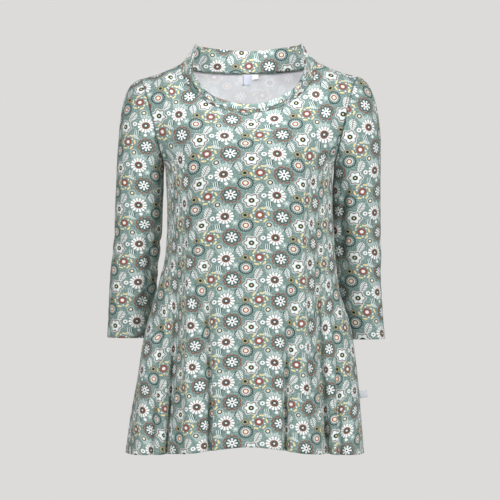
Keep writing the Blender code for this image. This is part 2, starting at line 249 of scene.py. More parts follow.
LABELS = {
    "neck_label": {"x": (-11 * MM, 4 * MM), "drop": (1.2 * MM, 24 * MM), "off": 1.2 * MM},
    "size_tag": {"x": (6.5 * MM, 18.7 * MM), "drop": (1.2 * MM, 11.5 * MM), "off": 2.4 * MM},
}
SIDE_LABEL = {"height": -615 * MM, "long": 17 * MM, "tall": 13 * MM, "tilt": math.radians(8)}


def smooth_line(at, xs, ys):
    """Value at a place on a smooth line through the points."""
    slopes = np.gradient(ys, xs)
    i = np.clip(np.searchsorted(xs, at) - 1, 0, len(xs) - 2)
    span = xs[i + 1] - xs[i]
    t = np.clip((at - xs[i]) / span, 0, 1)
    rise = t * t * (3 - 2 * t)
    return (
        ys[i] * (1 - rise)
        + ys[i + 1] * rise
        + slopes[i] * span * t * (1 - t) ** 2
        - slopes[i + 1] * span * t * t * (1 - t)
    )


def read(rows, by, name, at):
    """A table's column at a place on another of its columns."""
    return smooth_line(at, rows[by], rows[name])


def column(rows, name, height):
    """A table's column at a height."""
    return read(rows, "height", name, height)


def ease(t):
    """Rises smoothly from 0 to 1 and stays there."""
    t = np.clip(t, 0, 1)
    return t * t * (3 - 2 * t)


def unit(vectors):
    return vectors / np.linalg.norm(vectors, axis=-1, keepdims=True)


def plain_body(angle, height):
    """Body section without folds. The angle is 0 at centre front and a quarter turn at the left side."""
    side = np.where(np.sin(angle) > 0, column(BODY, "left", height), column(BODY, "right", height))
    depth = np.where(np.cos(angle) > 0, column(BODY, "front", height), column(BODY, "back", height))
    swell = 1 + column(BODY, "square", height) * np.sin(2 * angle) ** 2
    return side * np.sin(angle) * swell, -depth * np.cos(angle) * swell


def angle_at(x, height, back):
    """Angle round the body of a place seen at x in the front or back view."""
    side = np.where(x > 0, column(BODY, "left", height), column(BODY, "right", height))
    square = column(BODY, "square", height)
    angle = np.zeros_like(x)
    for _ in range(5):
        angle = np.arcsin(np.clip(x / side / (1 + square * np.sin(2 * angle) ** 2), -1, 1))
    return np.pi - angle if back else angle


def cubic(start, leave, end, arrive, s):
    """Place at a share of a smooth line that leaves its start and comes to its end in these directions."""
    return (
        start * (1 - s) ** 2 * (1 + 2 * s)
        + leave * s * (1 - s) ** 2
        + end * s * s * (3 - 2 * s)
        - arrive * s * s * (1 - s)
    )


def around(angle):
    """The same angle between half a turn back and half a turn on."""
    return (angle + np.pi) % (2 * np.pi) - np.pi


def fold_out(angle, height, folds, back):
    """How far the flare folds stand out of the plain body at a place on it."""
    total = np.zeros(np.broadcast(angle, height).shape)
    reach = 0.5 * (column(BODY, "left", height) + column(BODY, "front", height))
    level = np.clip(height, FOLD_HEIGHTS[0], FOLD_HEIGHTS[-1])
    fade = ease((ARMPIT - height) / (60 * MM))
    for *places, width in zip(*folds.values()):
        x, out = (smooth_line(level, FOLD_HEIGHTS, np.array(run)) for run in (places[:3], places[3:]))
        away = around(angle - angle_at(x, height, back)) * reach
        total = total + fade * out * np.exp(-((away / width) ** 2))
    return total


def hollow_in(y, height):
    """Depth of the hollow that the hanging sleeve presses into the body's side."""
    along = (height - ARM_HOLLOW["height"]) / ARM_HOLLOW["reach"]
    across = (y - ARM_HOLLOW["back"]) / ARM_HOLLOW["width"]
    return ARM_HOLLOW["depth"] * np.exp(-(along**2) - across**2)


def body_point(angle, height, back):
    """Point of the body's cloth with its flare folds and the hollows under the arms."""
    step = 1e-4
    x, y = plain_body(angle, height)
    x2, y2 = plain_body(angle + step, height)
    x1, y1 = plain_body(angle - step, height)
    out = unit(np.stack([y2 - y1, x1 - x2], axis=-1))
    folds = BACK_FOLDS if back else FRONT_FOLDS
    push = fold_out(angle, height, folds, back) - hollow_in(y, height) * np.abs(np.sin(angle)) ** 6
    return np.stack([x + push * out[..., 0], y + push * out[..., 1], height + 0 * x], axis=-1)


def neck_seam(turn):
    """Point of the neck seam, at a turn of 0 in centre front and a quarter turn at the left side."""
    front = np.cos(turn) > 0
    share = np.abs(np.cos(turn)) ** 1.05
    drop = np.where(front, NECK_FRONT_HEIGHT, NECK_BACK_HEIGHT) - NECK_SIDE_HEIGHT
    depth = np.where(front, NECK_FRONT, NECK_BACK)
    y = -np.sign(np.cos(turn)) * depth * np.abs(np.cos(turn)) ** 0.75
    x = NECK_HALF * np.sin(turn)
    return np.stack([x, y, NECK_SIDE_HEIGHT + drop * share + SHOULDER_TILT * x], axis=-1)


def top_edge(u, back):
    """Top edge of a panel: shoulder seam, neckline, shoulder seam."""
    turn = np.clip(u / SHOULDER_SHARE, -1, 1) * np.pi / 2
    neck = neck_seam(np.pi - turn if back else turn)
    out = np.clip((np.abs(u) - SHOULDER_SHARE) / (1 - SHOULDER_SHARE), 0, 1)[..., None]
    tip_x = np.sign(u) * TIP_REACH
    tip = np.stack([tip_x, 0 * u, TIP_HEIGHT + SHOULDER_TILT * tip_x], axis=-1)
    sag = np.array([0, 0, -SHOULDER_SAG]) * np.sin(np.pi * out)
    return neck + (tip - neck) * out + sag


def hem_height(angle, back):
    """Height of a panel's hem, which rises to its centre."""
    centre = HEM_CENTRE_BACK if back else HEM_CENTRE_FRONT
    arch = 0 if back else HEM_ARCH_SHARE
    rise = arch * np.exp(-((np.sin(angle) / HEM_ARCH) ** 2)) + (1 - arch) * np.cos(angle) ** 2
    return HEM_SIDE + (centre - HEM_SIDE) * rise


def armhole_run(side, face, run):
    """How a panel's edge runs at an armhole, outwards, forwards or backwards, and up."""
    out, along, up = run
    return np.stack([side * out, face * along + 0 * side, up + 0 * side], axis=-1)


def yoke_point(u, s, back):
    """Point of a panel above the armpit, at s of 0 on the armpit line and 1 on the top edge."""
    face = 1 if back else -1
    angle = np.pi - u * np.pi / 2 if back else u * np.pi / 2
    low = body_point(angle, ARMPIT + 0 * u, back)
    step = 2 * MM
    above, below = (body_point(angle, ARMPIT + rise + 0 * u, back) for rise in (step, -step))
    climb = unit(above - below)
    high = top_edge(u, back)
    length = np.linalg.norm(high - low, axis=-1, keepdims=True)
    edge = (np.abs(u) ** 5)[..., None]
    side = np.sign(u)
    leave = (1 - edge) * climb * length + edge * armhole_run(side, face, ARMHOLE_LEAVE)
    yoke = YOKE_BACK if back else YOKE_FRONT
    share = np.abs(u)
    inwards, across, up = (read(yoke, "share", name, share) for name in ("inwards", "across", "up"))
    slope_in = np.stack([-side * inwards, -face * across, up], axis=-1)
    arrive = (1 - edge) * unit(slope_in) * length * YOKE_ARRIVE
    arrive = arrive + edge * armhole_run(side, -face, ARMHOLE_ARRIVE)
    point = cubic(low, leave, high, arrive, s[..., None])
    names = ("sideways", "back" if back else "front")
    sideways, forwards = (read(ARMHOLE_SWELL, "share", name, share) for name in names)
    point[..., 0] += side * sideways * 4 * s * (1 - s)
    point[..., 1] += face * forwards * 4 * s * (1 - s)
    point[..., 1] += face * (SIDE_GAP + (SHOULDER_GAP - SIDE_GAP) * s**2) / 2
    return point


def drag(points):
    """How far the drag folds from the armpits stand out at points of the front."""
    total = np.zeros(points.shape[:-1])
    for x0, z0, x1, z1, out, width in zip(*DRAG_FOLDS.values()):
        line = np.array([x1 - x0, z1 - z0])
        place = points[..., [0, 2]] - np.array([x0, z0])
        t = np.clip(place @ line / (line @ line), 0, 1)
        away = np.linalg.norm(place - t[..., None] * line, axis=-1) / width
        total += out * (1 - 0.7 * t) * np.exp(-(away**2))
    return total


def grid_normals(points):
    """Normals of a grid, off its rows and columns."""
    along = np.gradient(points, axis=0)
    across = np.gradient(points, axis=1)
    return unit(np.cross(across, along))


def panel_points(back):
    """Grid of a panel: rows from hem to top edge, columns from the right edge to the left."""
    u = np.linspace(-1, 1, ACROSS + 1)
    angle = np.pi - u * np.pi / 2 if back else u * np.pi / 2
    down = np.linspace(1, 0, ROWS_BELOW + 1)[:, None]
    height = ARMPIT + (hem_height(angle, back) - ARMPIT) * down
    low = body_point(angle + 0 * height, height, back)
    low[..., 1] += (SIDE_GAP if back else -SIDE_GAP) / 2
    up = 1 - np.linspace(1, 0, ROWS_ABOVE + 1)[1:, None] ** ROWS_CLOSER_UP
    high = yoke_point(u + 0 * up, up + 0 * u, back)
    points = np.concatenate([low, high])
    if not back:
        push = drag(points) * (1 - np.abs(u) ** 8)
        points += grid_normals(points) * push[..., None]
    return points


def sleeve_ring(rows, side, turn, height):
    """Point of a hanging sleeve. The turn is 0 on its outer line and a quarter turn in front."""
    inner, outer = column(rows, "inner", height), column(rows, "outer", height)
    half = column(rows, "half", height)
    squash = 1 + 0.04 * np.sin(2 * turn) ** 2
    x = side * ((inner + outer) / 2 + (outer - inner) / 2 * np.cos(turn) * squash)
    y = column(rows, "middle", height) - half * np.sin(turn) * squash
    return np.stack([x, y, height + 0 * x], axis=-1)


def armhole(side, turn):
    """Seam edge of the sleeve, clear of the panels' edges. The turn is 0 at the shoulder and pi underarm."""
    back = turn > np.pi
    s = np.abs(1 - turn / np.pi)
    u = side * np.ones_like(turn)
    edge = np.where(back[..., None], yoke_point(u, s, True), yoke_point(u, s, False))
    edge[..., 0] += side * (ARMHOLE_GAP + WALL / 2 * (1 - np.cos(turn)))
    return edge


def sleeve_grid(name, turn):
    """Grid of a sleeve: rows from armhole to cuff, columns at turns round it."""
    rows = SLEEVES[name]
    side = 1 if name == "sleeve_left" else -1
    start = armhole(side, turn % (2 * np.pi))
    end = sleeve_ring(rows, side, turn, SLEEVE_TOP + 0 * turn)
    below = sleeve_ring(rows, side, turn, SLEEVE_TOP - 2 * MM + 0 * turn)
    chord = np.linalg.norm(end - start, axis=-1, keepdims=True)
    under = (0.5 - 0.5 * np.cos(turn))[:, None]
    towards = (1 - under) * np.array([side, 0, -0.3]) + under * np.array([side * 0.15, 0, -1])
    leave = unit(towards) * chord * CAP_LEAVE
    arrive = unit(below - end) * chord * CAP_ARRIVE
    s = np.linspace(0, 1, CAP_ROWS + 1)[:, None, None]
    cap = cubic(start, leave, end, arrive, s)
    height = np.linspace(SLEEVE_TOP, rows["height"][0], SLEEVE_ROWS + 1)[1:, None]
    tube = sleeve_ring(rows, side, turn + 0 * height, height + 0 * turn)
    points = np.concatenate([cap, tube])
    push = np.zeros(points.shape[:2])
    for crease in ELBOW_CREASES:
        across = around(turn - crease["turn"]) * SLEEVE_RADIUS / crease["width"]
        along = (points[..., 2] - crease["height"]) / crease["tall"]
        push += crease["out"] * np.exp(-(across**2) - along**2)
    centre = points.mean(axis=1, keepdims=True)
    return points + unit((points - centre) * np.array([1, 1, 0])) * push[..., None]


def collar_grid(turn):
    """Grid of the collar band: rows from the neck seam to its top edge, columns at turns round the neck."""
    turn = around(turn)
    base = neck_seam(turn)
    step = 1e-3
    ahead = neck_seam(turn + step) - neck_seam(turn - step)
    out = unit(np.stack([ahead[:, 1], -ahead[:, 0]], axis=-1))
    degrees = np.degrees(np.abs(turn)) * MM
    seam, top, begin, end, tall = (read(COLLAR, "angle", name, degrees) for name in list(COLLAR)[1:])
    seam, top = seam / MM, top / MM
    stride = tall[:, None] / COLLAR_ROWS
    rows = []
    for k in range(COLLAR_ROWS):
        t = ease(((k + 0.5) / COLLAR_ROWS - begin) / (end - begin))
        tilt = np.radians(seam + (top - seam) * t)
        move = np.stack([out[:, 0] * np.sin(tilt), out[:, 1] * np.sin(tilt), np.cos(tilt)], axis=-1)
        if not rows:
            rows.append(base + move * COLLAR_GAP)
        rows.append(rows[-1] + move * stride)
    return np.stack(rows)


def label_points(spec):
    """Grid of a label that hangs inside the back neck, off the back panel's inner face."""
    x = np.linspace(*spec["x"], 4)
    u = np.arcsin(x / NECK_HALF) / (np.pi / 2) * SHOULDER_SHARE
    length = NECK_BACK_HEIGHT - ARMPIT
    s = 1 - np.linspace(*spec["drop"][::-1], 5)[:, None] / length
    points = yoke_point(u + 0 * s, s + 0 * u, True)
    off = WALL / 2 + SEAM + LABEL_WALL / 2 + spec["off"] * (1 - s) / (1 - s.min())
    return points + grid_normals(points) * off[..., None]


def side_label_points():
    """Grid of the tab that stands out of the left side seam."""
    up = SIDE_LABEL["height"] + np.linspace(-0.5, 0.5, 4) * SIDE_LABEL["tall"]
    root = body_point(np.pi / 2 + 0 * up, up, False)[:, None]
    along = np.linspace(0, SIDE_LABEL["long"], 4)
    tilt = SIDE_LABEL["tilt"]
    x = WALL / 2 + SEAM + along * math.cos(tilt)
    return root + np.stack([x, 0 * x, along * math.sin(tilt)], axis=-1)


# The cloth, which is thinner than the solids' walls
JERSEY = 0.9 * MM
BAND = 1.9 * MM
RIBBON = 0.8 * MM
RIBBON_GAP = 0.25 * MM
ALLOWANCE = 4 * MM
PANEL_UNEVEN = 0.7 * MM
SLEEVE_UNEVEN = 0.8 * MM

# A turned hem: how far it stands out, its depth, its stitching and the hollow that this draws in
HEM_RISE = 0.45 * MM
HEM_TURN = 19 * MM
HEM_STITCH = 17.5 * MM
HEM_HOLLOW = 0.5 * MM
HEM_HOLLOW_WIDTH = 1.5 * MM
# The distance that stands for no hem at all
NO_HEM = 1

# Places that a crease's line is read at, on a panel and on a sleeve, and the share of the collar's height
# from which its crumples are full
CREASE_STEPS = 13
SLEEVE_CREASE_STEPS = 25
CRUMPLES_FULL = 0.25

# How a flat layout is relaxed
RELAX_PULL = 1.6
COARSE_PARTS = (36, 40)
COARSE_ROUNDS = 700
FINE_ROUNDS = 120

# How much the cloth is drawn out at the chest, hangs slack below the hip, dips to the sides and is held in
# folds
CHEST_STRETCH = 0.09
CHEST_LOW = -380 * MM
CHEST_REACH = 160 * MM
FLARE_EASE = 0.045
FLARE_TOP = -460 * MM
SIDE_DIP = 13 * MM
DIP_INNER = 30 * MM
DIP_OUTER = 140 * MM
DIP_TOP = -120 * MM
DIP_FULL = -220 * MM
WAIST_LIFT = 0.62
WAIST_HEIGHT = -410 * MM
WAIST_REACH = 85 * MM
FOLD_FULLNESS = 2.1
GATHER_EDGE = 12 * MM

# How far each sleeve's grain leans, and its length once taken down and slack
SLEEVE_HANG = {"sleeve_left": (0.072, 0.94), "sleeve_right": (0, 1)}

# Where each piece was cut from the printed cloth: its lowest row's middle, in metres
CUT_PLACES = {
    "front": (-0.0039, 0.0129),
    "back": (0.3, 0.02),
    "sleeve_left": (0.5943, 0.0005),
    "sleeve_right": (0.92, 0.0115),
    "collar": (1.2, 0.05),
}
# The collar's seam, by its turn from centre front, and how its inner layer was cut
COLLAR_SEAM = math.radians(64)
FACING_MIRRORED = (-1, 1, 1)
FACING_PLACE = (0.0264, -0.0133, 0)

# The sides of each piece that turn in at a seam
PANEL_SIDES = ("left", "right", "top")
TURNED_IN = {
    "front": PANEL_SIDES,
    "back": PANEL_SIDES,
    "sleeve_left": ("top",),
    "sleeve_right": ("top",),
    "collar": ("bottom",),
}
# The labels' colours, as levels of 255
LABEL_TINTS = {"neck_label": (222, 226, 241), "size_tag": (248, 248, 248), "side_label": (232, 236, 244)}

# The print's repeat in millimetres of flat cloth, how much lower than wide its round motifs are, and how soft
COLUMN_STEP = 87.5
ROW_STEP = 75.0
MOTIF_SQUASH = 0.86
BARB_STEP = 3.4
SOFT_EDGE = 0.45
MOTIF_PLACE = ("Across", "Up", "Radius", "Turn")
MOTIFS = {
    "daisy": (42, 10),
    "rosette": (-34.6, 10.3),
    "star": (0, 0),
    "pale flower": (-28.4, -39.3),
    "beaded flower": (14, -25.5),
    "dark-edged flower": (-10, -44),
    "olive dot": (-11, -25.8),
    "cream dot": (30.2, 32.1),
    "bead": (20.3, 8.8),
    "speck": (46.1, -7.2),
}

# Knit and stitches, how far the reverse and the thread cover the print, and how far the painted shade along
# the seams darkens it
WALE = 0.9 * MM
COURSE = 0.7 * MM
STITCH = 3.2 * MM
GHOST_COVER = 0.83
THREAD_COVER = 0.6
# Painted shade: how strongly the print darkens towards pine along each seam, where the groove lies in shadow
PAINTED_SEAM_SHADE = 0.6

# Floor, lights and camera
FLOOR_RADIUS = 0.9
FLOOR_HEIGHT = -0.95
LEFT_POWER = 32
RIGHT_POWER = 40
BACK_POWER = 50
NECK_POWER = 0.13
NECK_SPREAD = 18
GLOW = 0.1
CAMERA_PLACE = (0.00187, -3.2, -0.34408)
SENSOR = 36
CAMERA_LENS = SENSOR * 3.2 / (500 * 0.00187)

# Creases as drawn on a panel in the front or back view: start, middle and end, how far each stands out, and
# its half width. Troughs are below zero.
CREASE_COLUMNS = "x0 z0 x1 z1 x2 z2 out width"
FRONT_CREASES = table(
    CREASE_COLUMNS,
    (-74, -500, -77, -440, -80, -330, -3, 7),
    (70, -470, 72, -360, 74, -290, -3, 7),
    (200, -780, 190, -620, 176, -460, 7, 14),
    (-206, -780, -194, -620, -178, -460, 7, 14),
    (-166, -780, -160, -600, -150, -480, -3, 8),
    (-112, -780, -108, -600, -104, -470, 3, 8),
    (-40, -780, -36, -560, -40, -430, 1.6, 18),
    (24, -780, 20, -580, 26, -430, -1.4, 16),
    (100, -780, 98, -600, 95, -430, 3, 9),
    (-153, -182, -118, -172, -84, -176, -2.6, 5),
    (-153, -200, -122, -206, -92, -226, -2.6, 6),
    (-150, -228, -132, -252, -120, -300, -2.2, 6),
    (-160, -140, -128, -138, -98, -146, -2.2, 6),
    (-164, -112, -140, -104, -118, -92, -1.6, 8),
    (-152, -168, -120, -154, -92, -150, 1.6, 6),
    (153, -186, 120, -180, 92, -190, -2.8, 5),
    (152, -206, 124, -216, 100, -244, -2.8, 6),
    (148, -234, 134, -262, 124, -310, -2.2, 6),
    (160, -146, 130, -142, 104, -148, -2.2, 6),
    (166, -116, 144, -104, 122, -94, -1.6, 8),
    (152, -170, 124, -160, 100, -162, 1.6, 6),
    (-60, -150, 0, -164, 60, -152, 1.2, 18),
    (-128, -60, -96, -84, -66, -100, -1.2, 9),
    (132, -60, 100, -86, 70, -104, -1.2, 9),
    (-150, -600, -146, -400, -140, -200, -1.4, 3.2),
    (-138, -560, -136, -380, -132, -190, -1.6, 3),
    (-126, -610, -124, -410, -124, -230, -1.3, 3.2),
    (-114, -540, -113, -380, -114, -240, -1.5, 3),
    (100, -540, 102, -390, 106, -250, -1.3, 3.2),
    (112, -580, 114, -400, 116, -210, -1.6, 3),
    (127, -560, 127, -380, 126, -190, -1.3, 3),
    (140, -600, 139, -410, 136, -200, -1.6, 3.4),
    (153, -560, 150, -400, 146, -220, -1.3, 3),
    (-90, -300, -60, -322, -20, -330, -0.8, 14),
    (96, -320, 62, -342, 30, -350, -0.8, 14),
    (-109, -640, -112, -470, -106, -240, 2.2, 4.5),
    (-97, -620, -100, -450, -95, -250, -3, 4),
    (-146, -640, -141, -500, -132, -330, -2.6, 4.5),
    (112, -690, 110, -500, 106, -250, -3, 4),
    (101, -600, 99, -460, 96, -260, 2.2, 4.5),
    (121, -660, 118, -480, 117, -300, 2.4, 4.5),
    (142, -640, 138, -520, 134, -380, 2.4, 4.5),
    (88, -780, 87, -600, 85, -300, -2.4, 4.5),
    (-61, -780, -63, -600, -62, -430, 2, 6),
    (52, -780, 54, -600, 58, -430, 1.8, 6),
)
BACK_CREASES = table(
    CREASE_COLUMNS,
    (-166, -780, -160, -600, -150, -480, -3, 8),
    (160, -780, 154, -600, 146, -490, -3, 8),
    (-84, -780, -79, -560, -74, -420, 2.4, 9),
    (76, -780, 71, -560, 68, -430, 2.4, 9),
    (-153, -186, -120, -190, -88, -212, -2.4, 6),
    (-152, -206, -124, -226, -104, -266, -2.4, 6),
    (153, -184, 122, -190, 90, -214, -2.4, 6),
    (152, -208, 126, -228, 108, -270, -2.4, 6),
    (-160, -150, -128, -142, -98, -144, -1.6, 7),
    (160, -150, 128, -142, 98, -144, -1.6, 7),
    (-150, -30, -100, -48, -60, -52, -1, 10),
    (150, -30, 100, -48, 60, -52, -1, 10),
    (-80, -330, -20, -352, 50, -340, -0.9, 16),
    (-60, -300, 10, -310, 80, -296, -0.9, 14),
)

# Deep folds of the flare, which deepen to the hem and hold spare cloth between the front's wide waves.
FRONT_DEEP_FOLDS = table(
    CREASE_COLUMNS,
    (-157, -790, -141, -590, -127, -330, -25, 9),
    (-184, -790, -172, -600, -158, -430, -12, 8),
    (-76, -790, -70, -600, -83, -370, -17, 6.5),
    (68, -790, 66, -600, 75, -370, -14, 6.5),
    (150, -790, 136, -597, 121, -370, -23, 8.5),
    (172, -740, 163, -590, 156, -410, -13, 7),
)
BACK_DEEP_FOLDS = table(
    CREASE_COLUMNS,
    (-124, -790, -116, -560, -106, -390, -20, 8),
    (-43, -790, -41, -560, -40, -400, -17, 8),
    (37, -790, 34, -560, 31, -410, -18, 8),
    (117, -790, 110, -560, 101, -380, -22, 8),
)

# Fine gathers at the front's waist: from side to side, the heights between which they grow, stay and fade,
# and how much more cloth they hold for each millimetre.
WAIST_GATHERS = table(
    "start end top full low gone more",
    (-158, -104, -150, -230, -430, -610, 1.3),
    (94, 162, -150, -230, -430, -610, 0.75),
)

# Creases on a sleeve in degrees and millimetres: three turns round it from its outer line, its inner side at
# 180, three heights, how far each stands out, and its half width.
SLEEVE_CREASES = {
    "sleeve_right": (
        (95, 150, 200, -318, -334, -322, -4.6, 7),
        (100, 150, 195, -372, -390, -404, -4.2, 7),
        (105, 150, 185, -426, -420, -440, -2.2, 8),
        (-40, 5, 55, -300, -316, -336, -1.8, 11),
        (-50, 0, 60, -352, -350, -366, -1.6, 12),
        (60, 85, 110, -210, -260, -330, -1.2, 10),
        (215, 260, 300, -330, -345, -338, -2.4, 9),
        (210, 250, 290, -385, -372, -382, -2.2, 9),
        (75, 80, 70, -420, -470, -508, -1.4, 10),
        (100, 150, 175, -226, -236, -250, -2, 7),
        (108, 130, 160, -290, -306, -300, -2.4, 5),
        (112, 128, 120, -300, -370, -450, -8, 8),
        (100, 118, 150, -345, -357, -350, -2.2, 5),
    ),
    "sleeve_left": (
        (95, 145, 195, -308, -330, -326, -4.6, 7),
        (90, 140, 195, -362, -370, -390, -4.2, 7),
        (100, 150, 190, -412, -425, -430, -2.4, 8),
        (-45, 0, 50, -322, -330, -322, -1.8, 11),
        (-30, 20, 65, -392, -384, -398, -1.4, 12),
        (50, 75, 100, -190, -250, -320, -1.2, 10),
        (210, 255, 300, -320, -336, -330, -2.4, 9),
        (215, 250, 290, -378, -366, -380, -2.2, 9),
        (70, 72, 64, -430, -470, -511, -1.4, 10),
        (105, 150, 180, -222, -232, -246, -2, 7),
        (112, 130, 128, -215, -290, -380, -8, 8),
        (104, 122, 150, -285, -300, -296, -2.4, 5),
        (100, 124, 150, -388, -398, -392, -2.2, 5),
    ),
}

# Crumples in the collar: degrees from centre front, share of its height, how far out, half widths.
COLLAR_CRUMPLES = table(
    "at share out wide tall",
    (-78, 450, -2.2, 9, 320),
    (-62, 700, 2.2, 8, 260),
    (-50, 480, -2, 9, 280),
    (-36, 760, 1.4, 10, 260),
    (-14, 620, -1, 14, 260),
    (12, 760, 1, 16, 260),
    (28, 500, -1.2, 12, 260),
    (44, 720, 1.6, 9, 260),
    (57, 460, -2.2, 9, 300),
    (70, 700, 2, 8, 260),
    (84, 400, -1.8, 9, 300),
    (-96, 640, 1.2, 14, 360),
    (118, 600, -1, 18, 400),
    (160, 500, 0.8, 24, 400),
    (-150, 560, -0.9, 20, 400),
)


def soft_crease(away, along):
    """A rounded trough or ridge, as high all along and fading at both ends."""
    return (1 - np.abs(2 * along - 1) ** 5) * np.exp(-(away**2))


def deep_fold(away, along):
    """Two straight walls that meet in a soft point and grow towards the fold's lower end."""
    walls = np.log1p(np.exp(7 * (1 - np.sqrt(away**2 + 0.03)))) / 7
    return (1 - along**1.5) * walls / 0.83


def curve_through(first, second, third, steps=CREASE_STEPS):
    """Places along the smooth line through three."""
    t = np.linspace(0, 1, steps)[:, None]
    return first * (1 - t) * (1 - 2 * t) + second * 4 * t * (1 - t) + third * t * (2 * t - 1)


def reach_of_line(places, line):
    """How far places lie from a line of short straight pieces, and how far along it."""
    nearest, along = np.full(places.shape[:-1], np.inf), np.zeros(places.shape[:-1])
    for k in range(len(line) - 1):
        step = line[k + 1] - line[k]
        share = np.clip((places - line[k]) @ step / (step @ step), 0, 1)
        away = np.linalg.norm(places - line[k] - share[..., None] * step, axis=-1)
        along = np.where(away < nearest, (k + share) / (len(line) - 1), along)
        nearest = np.minimum(nearest, away)
    return nearest, along


def crease_push(places, rows, shape=soft_crease):
    """How far the creases in a table stand out at places given in a view's own x and z."""
    total = np.zeros(places.shape[:-1])
    for *ends, out, width in zip(*rows.values()):
        away, along = reach_of_line(places, curve_through(*np.reshape(ends, (3, 2))))
        total += out * shape(away / width, along)
    return total


def unevenness(points, size):
    """Slow rise and fall of loose cloth, the same on every run."""
    x, y, z = np.moveaxis(points, -1, 0) / (60 * MM)
    wave = np.sin(1.3 * x + 0.7 * z + 0.4) * np.sin(0.9 * z - 0.5 * y + 1.1)
    wave += 0.6 * np.sin(2.1 * x - 1.7 * y + 0.3) * np.sin(1.9 * z + 0.8 * x + 2.0)
    wave += 0.35 * np.sin(3.9 * z + 2.6 * x + 0.9) * np.sin(3.3 * y + 3.1 * x)
    return size * wave


def spans(points, axis):
    """Lengths between a grid's neighbours, along its columns (0) or its rows (1)."""
    return np.linalg.norm(np.diff(points, axis=axis), axis=-1)


def running(lengths, axis):
    """Running total of lengths, from 0."""
    return np.insert(np.cumsum(lengths, axis=axis), 0, 0, axis=axis)


def links_of(points, stretch):
    """Threads and diagonals of a grid of cloth, each with its length once the stretch is let out."""
    links = []
    for dr, dc in ((0, 1), (1, 0), (1, 1), (1, -1)):
        rows, columns = points.shape[0] - dr, points.shape[1] - abs(dc)
        a = (slice(0, rows), slice(0, columns) if dc >= 0 else slice(1, None))
        b = (slice(dr, None), slice(dc, None) if dc >= 0 else slice(0, columns))
        square = ((points[b] - points[a]) ** 2).sum(axis=-1)
        if dc:
            share = 1 / (1 + (stretch[a] + stretch[b]) / 2) ** 2
            square = square * share if dr == 0 else square * (1 + share) / 2
        links.append((a, b, np.sqrt(square)))
    return links


def lay_flat(points, start, stretch, rounds):
    """Relaxes a flat layout until its threads and diagonals are as long as on the formed cloth."""
    flat = start.copy()
    links = links_of(points, stretch)
    count = np.zeros(flat.shape[:2])
    for a, b, _ in links:
        count[a] += 1
        count[b] += 1
    for _ in range(rounds):
        move = np.zeros_like(flat)
        for a, b, length in links:
            gap = flat[b] - flat[a]
            now = np.linalg.norm(gap, axis=-1)
            pull = gap * (0.5 * (now - length) / np.maximum(now, 1e-9))[..., None]
            move[a] += pull
            move[b] -= pull
        flat += RELAX_PULL * move / count[..., None]
    return flat


def between(coarse, rows, columns):
    """A coarse grid read at a finer one's places."""
    r = np.linspace(0, coarse.shape[0] - 1, rows)
    c = np.linspace(0, coarse.shape[1] - 1, columns)
    i = np.minimum(r.astype(int), coarse.shape[0] - 2)
    j = np.minimum(c.astype(int), coarse.shape[1] - 2)
    fr, fc = (r - i)[:, None, None], (c - j)[None, :, None]
    top = coarse[i][:, j] * (1 - fc) + coarse[i][:, j + 1] * fc
    low = coarse[i + 1][:, j] * (1 - fc) + coarse[i + 1][:, j + 1] * fc
    return top * (1 - fr) + low * fr


def relaxed(points, start, stretch):
    """A flat layout relaxed on a coarse grid, where that divides the fine one, and then on all of it."""
    steps = [max(1, (count - 1) // parts) for count, parts in zip(points.shape, COARSE_PARTS)]
    if all((count - 1) % step == 0 for count, step in zip(points.shape, steps)):
        picked = np.ix_(*[np.arange(0, count, step) for count, step in zip(points.shape, steps)])
        coarse = lay_flat(points[picked], start[picked], stretch[picked], COARSE_ROUNDS)
        start = start + between(coarse - start[picked], *points.shape[:2])
    return lay_flat(points, start, stretch, FINE_ROUNDS)


def flat_cloth(points, stretch, middle):
    """Flat place of every point of a grid: x across from its middle column, y up from its lowest row."""
    across = running(spans(points, 1) / (1 + stretch[:, 1:]), 1)
    across -= across[:, middle : middle + 1]
    up = running(spans(points, 0), 0)
    droop = (up[:, middle : middle + 1] + up) / 2
    flat = relaxed(points, np.stack([across, droop], axis=-1), stretch)
    low, high = flat[0, middle], flat[-1, middle]
    lean = math.atan2(high[0] - low[0], high[1] - low[1])
    turn = np.array([[math.cos(lean), -math.sin(lean)], [math.sin(lean), math.cos(lean)]])
    return (flat - low) @ turn.T


def from_middle(lengths, middle):
    """Running total of lengths along each row, counted from the middle column."""
    total = running(lengths, 1)
    return total - total[:, middle : middle + 1]


def taken_up(smooth, creased, middle):
    """How much more cloth lies between the middle column and each point once the cloth is creased."""
    return from_middle(spans(creased, 1) - spans(smooth, 1), middle)


def gathered(points, middle):
    """How much more cloth lies between the middle column and each point in fine gathers at the waist."""
    x, z = points[..., 0], points[..., 2]
    rate = np.zeros(x.shape)
    for start, end, top, full, low, gone, more in zip(*WAIST_GATHERS.values()):
        within = ease((x - start) / GATHER_EDGE) * ease((end - x) / GATHER_EDGE)
        rate += more / MM * within * ease((top - z) / (top - full)) * ease((z - gone) / (low - gone))
    return from_middle(spans(points, 1) * rate[:, 1:], middle)


def flare_ease(points):
    """Below the waist the knit hangs slack, which draws the print's rows closer, and it dips to the sides."""
    side, height = np.abs(points[..., 0]), points[..., 2]
    below = np.maximum(0, FLARE_TOP - height)
    waist = 1 - WAIST_LIFT * np.exp(-(((height - WAIST_HEIGHT) / WAIST_REACH) ** 2))
    outwards = ease((side - DIP_INNER) / (DIP_OUTER - DIP_INNER))
    dip = outwards * ease((DIP_TOP - height) / (DIP_TOP - DIP_FULL)) * waist
    return SIDE_DIP * dip - FLARE_EASE * below


def chest_stretch(points):
    """The knit is drawn out across the chest and relaxed below it."""
    return CHEST_STRETCH * ease((points[..., 2] - CHEST_LOW) / CHEST_REACH)


def normals_of(points, closed):
    """Outward normals of a grid, with the first and last columns joined where it is closed."""
    if not closed:
        return grid_normals(points)
    wrapped = np.concatenate([points[:, -2:-1], points, points[:, 1:2]], axis=1)
    return grid_normals(wrapped)[:, 1:-1]


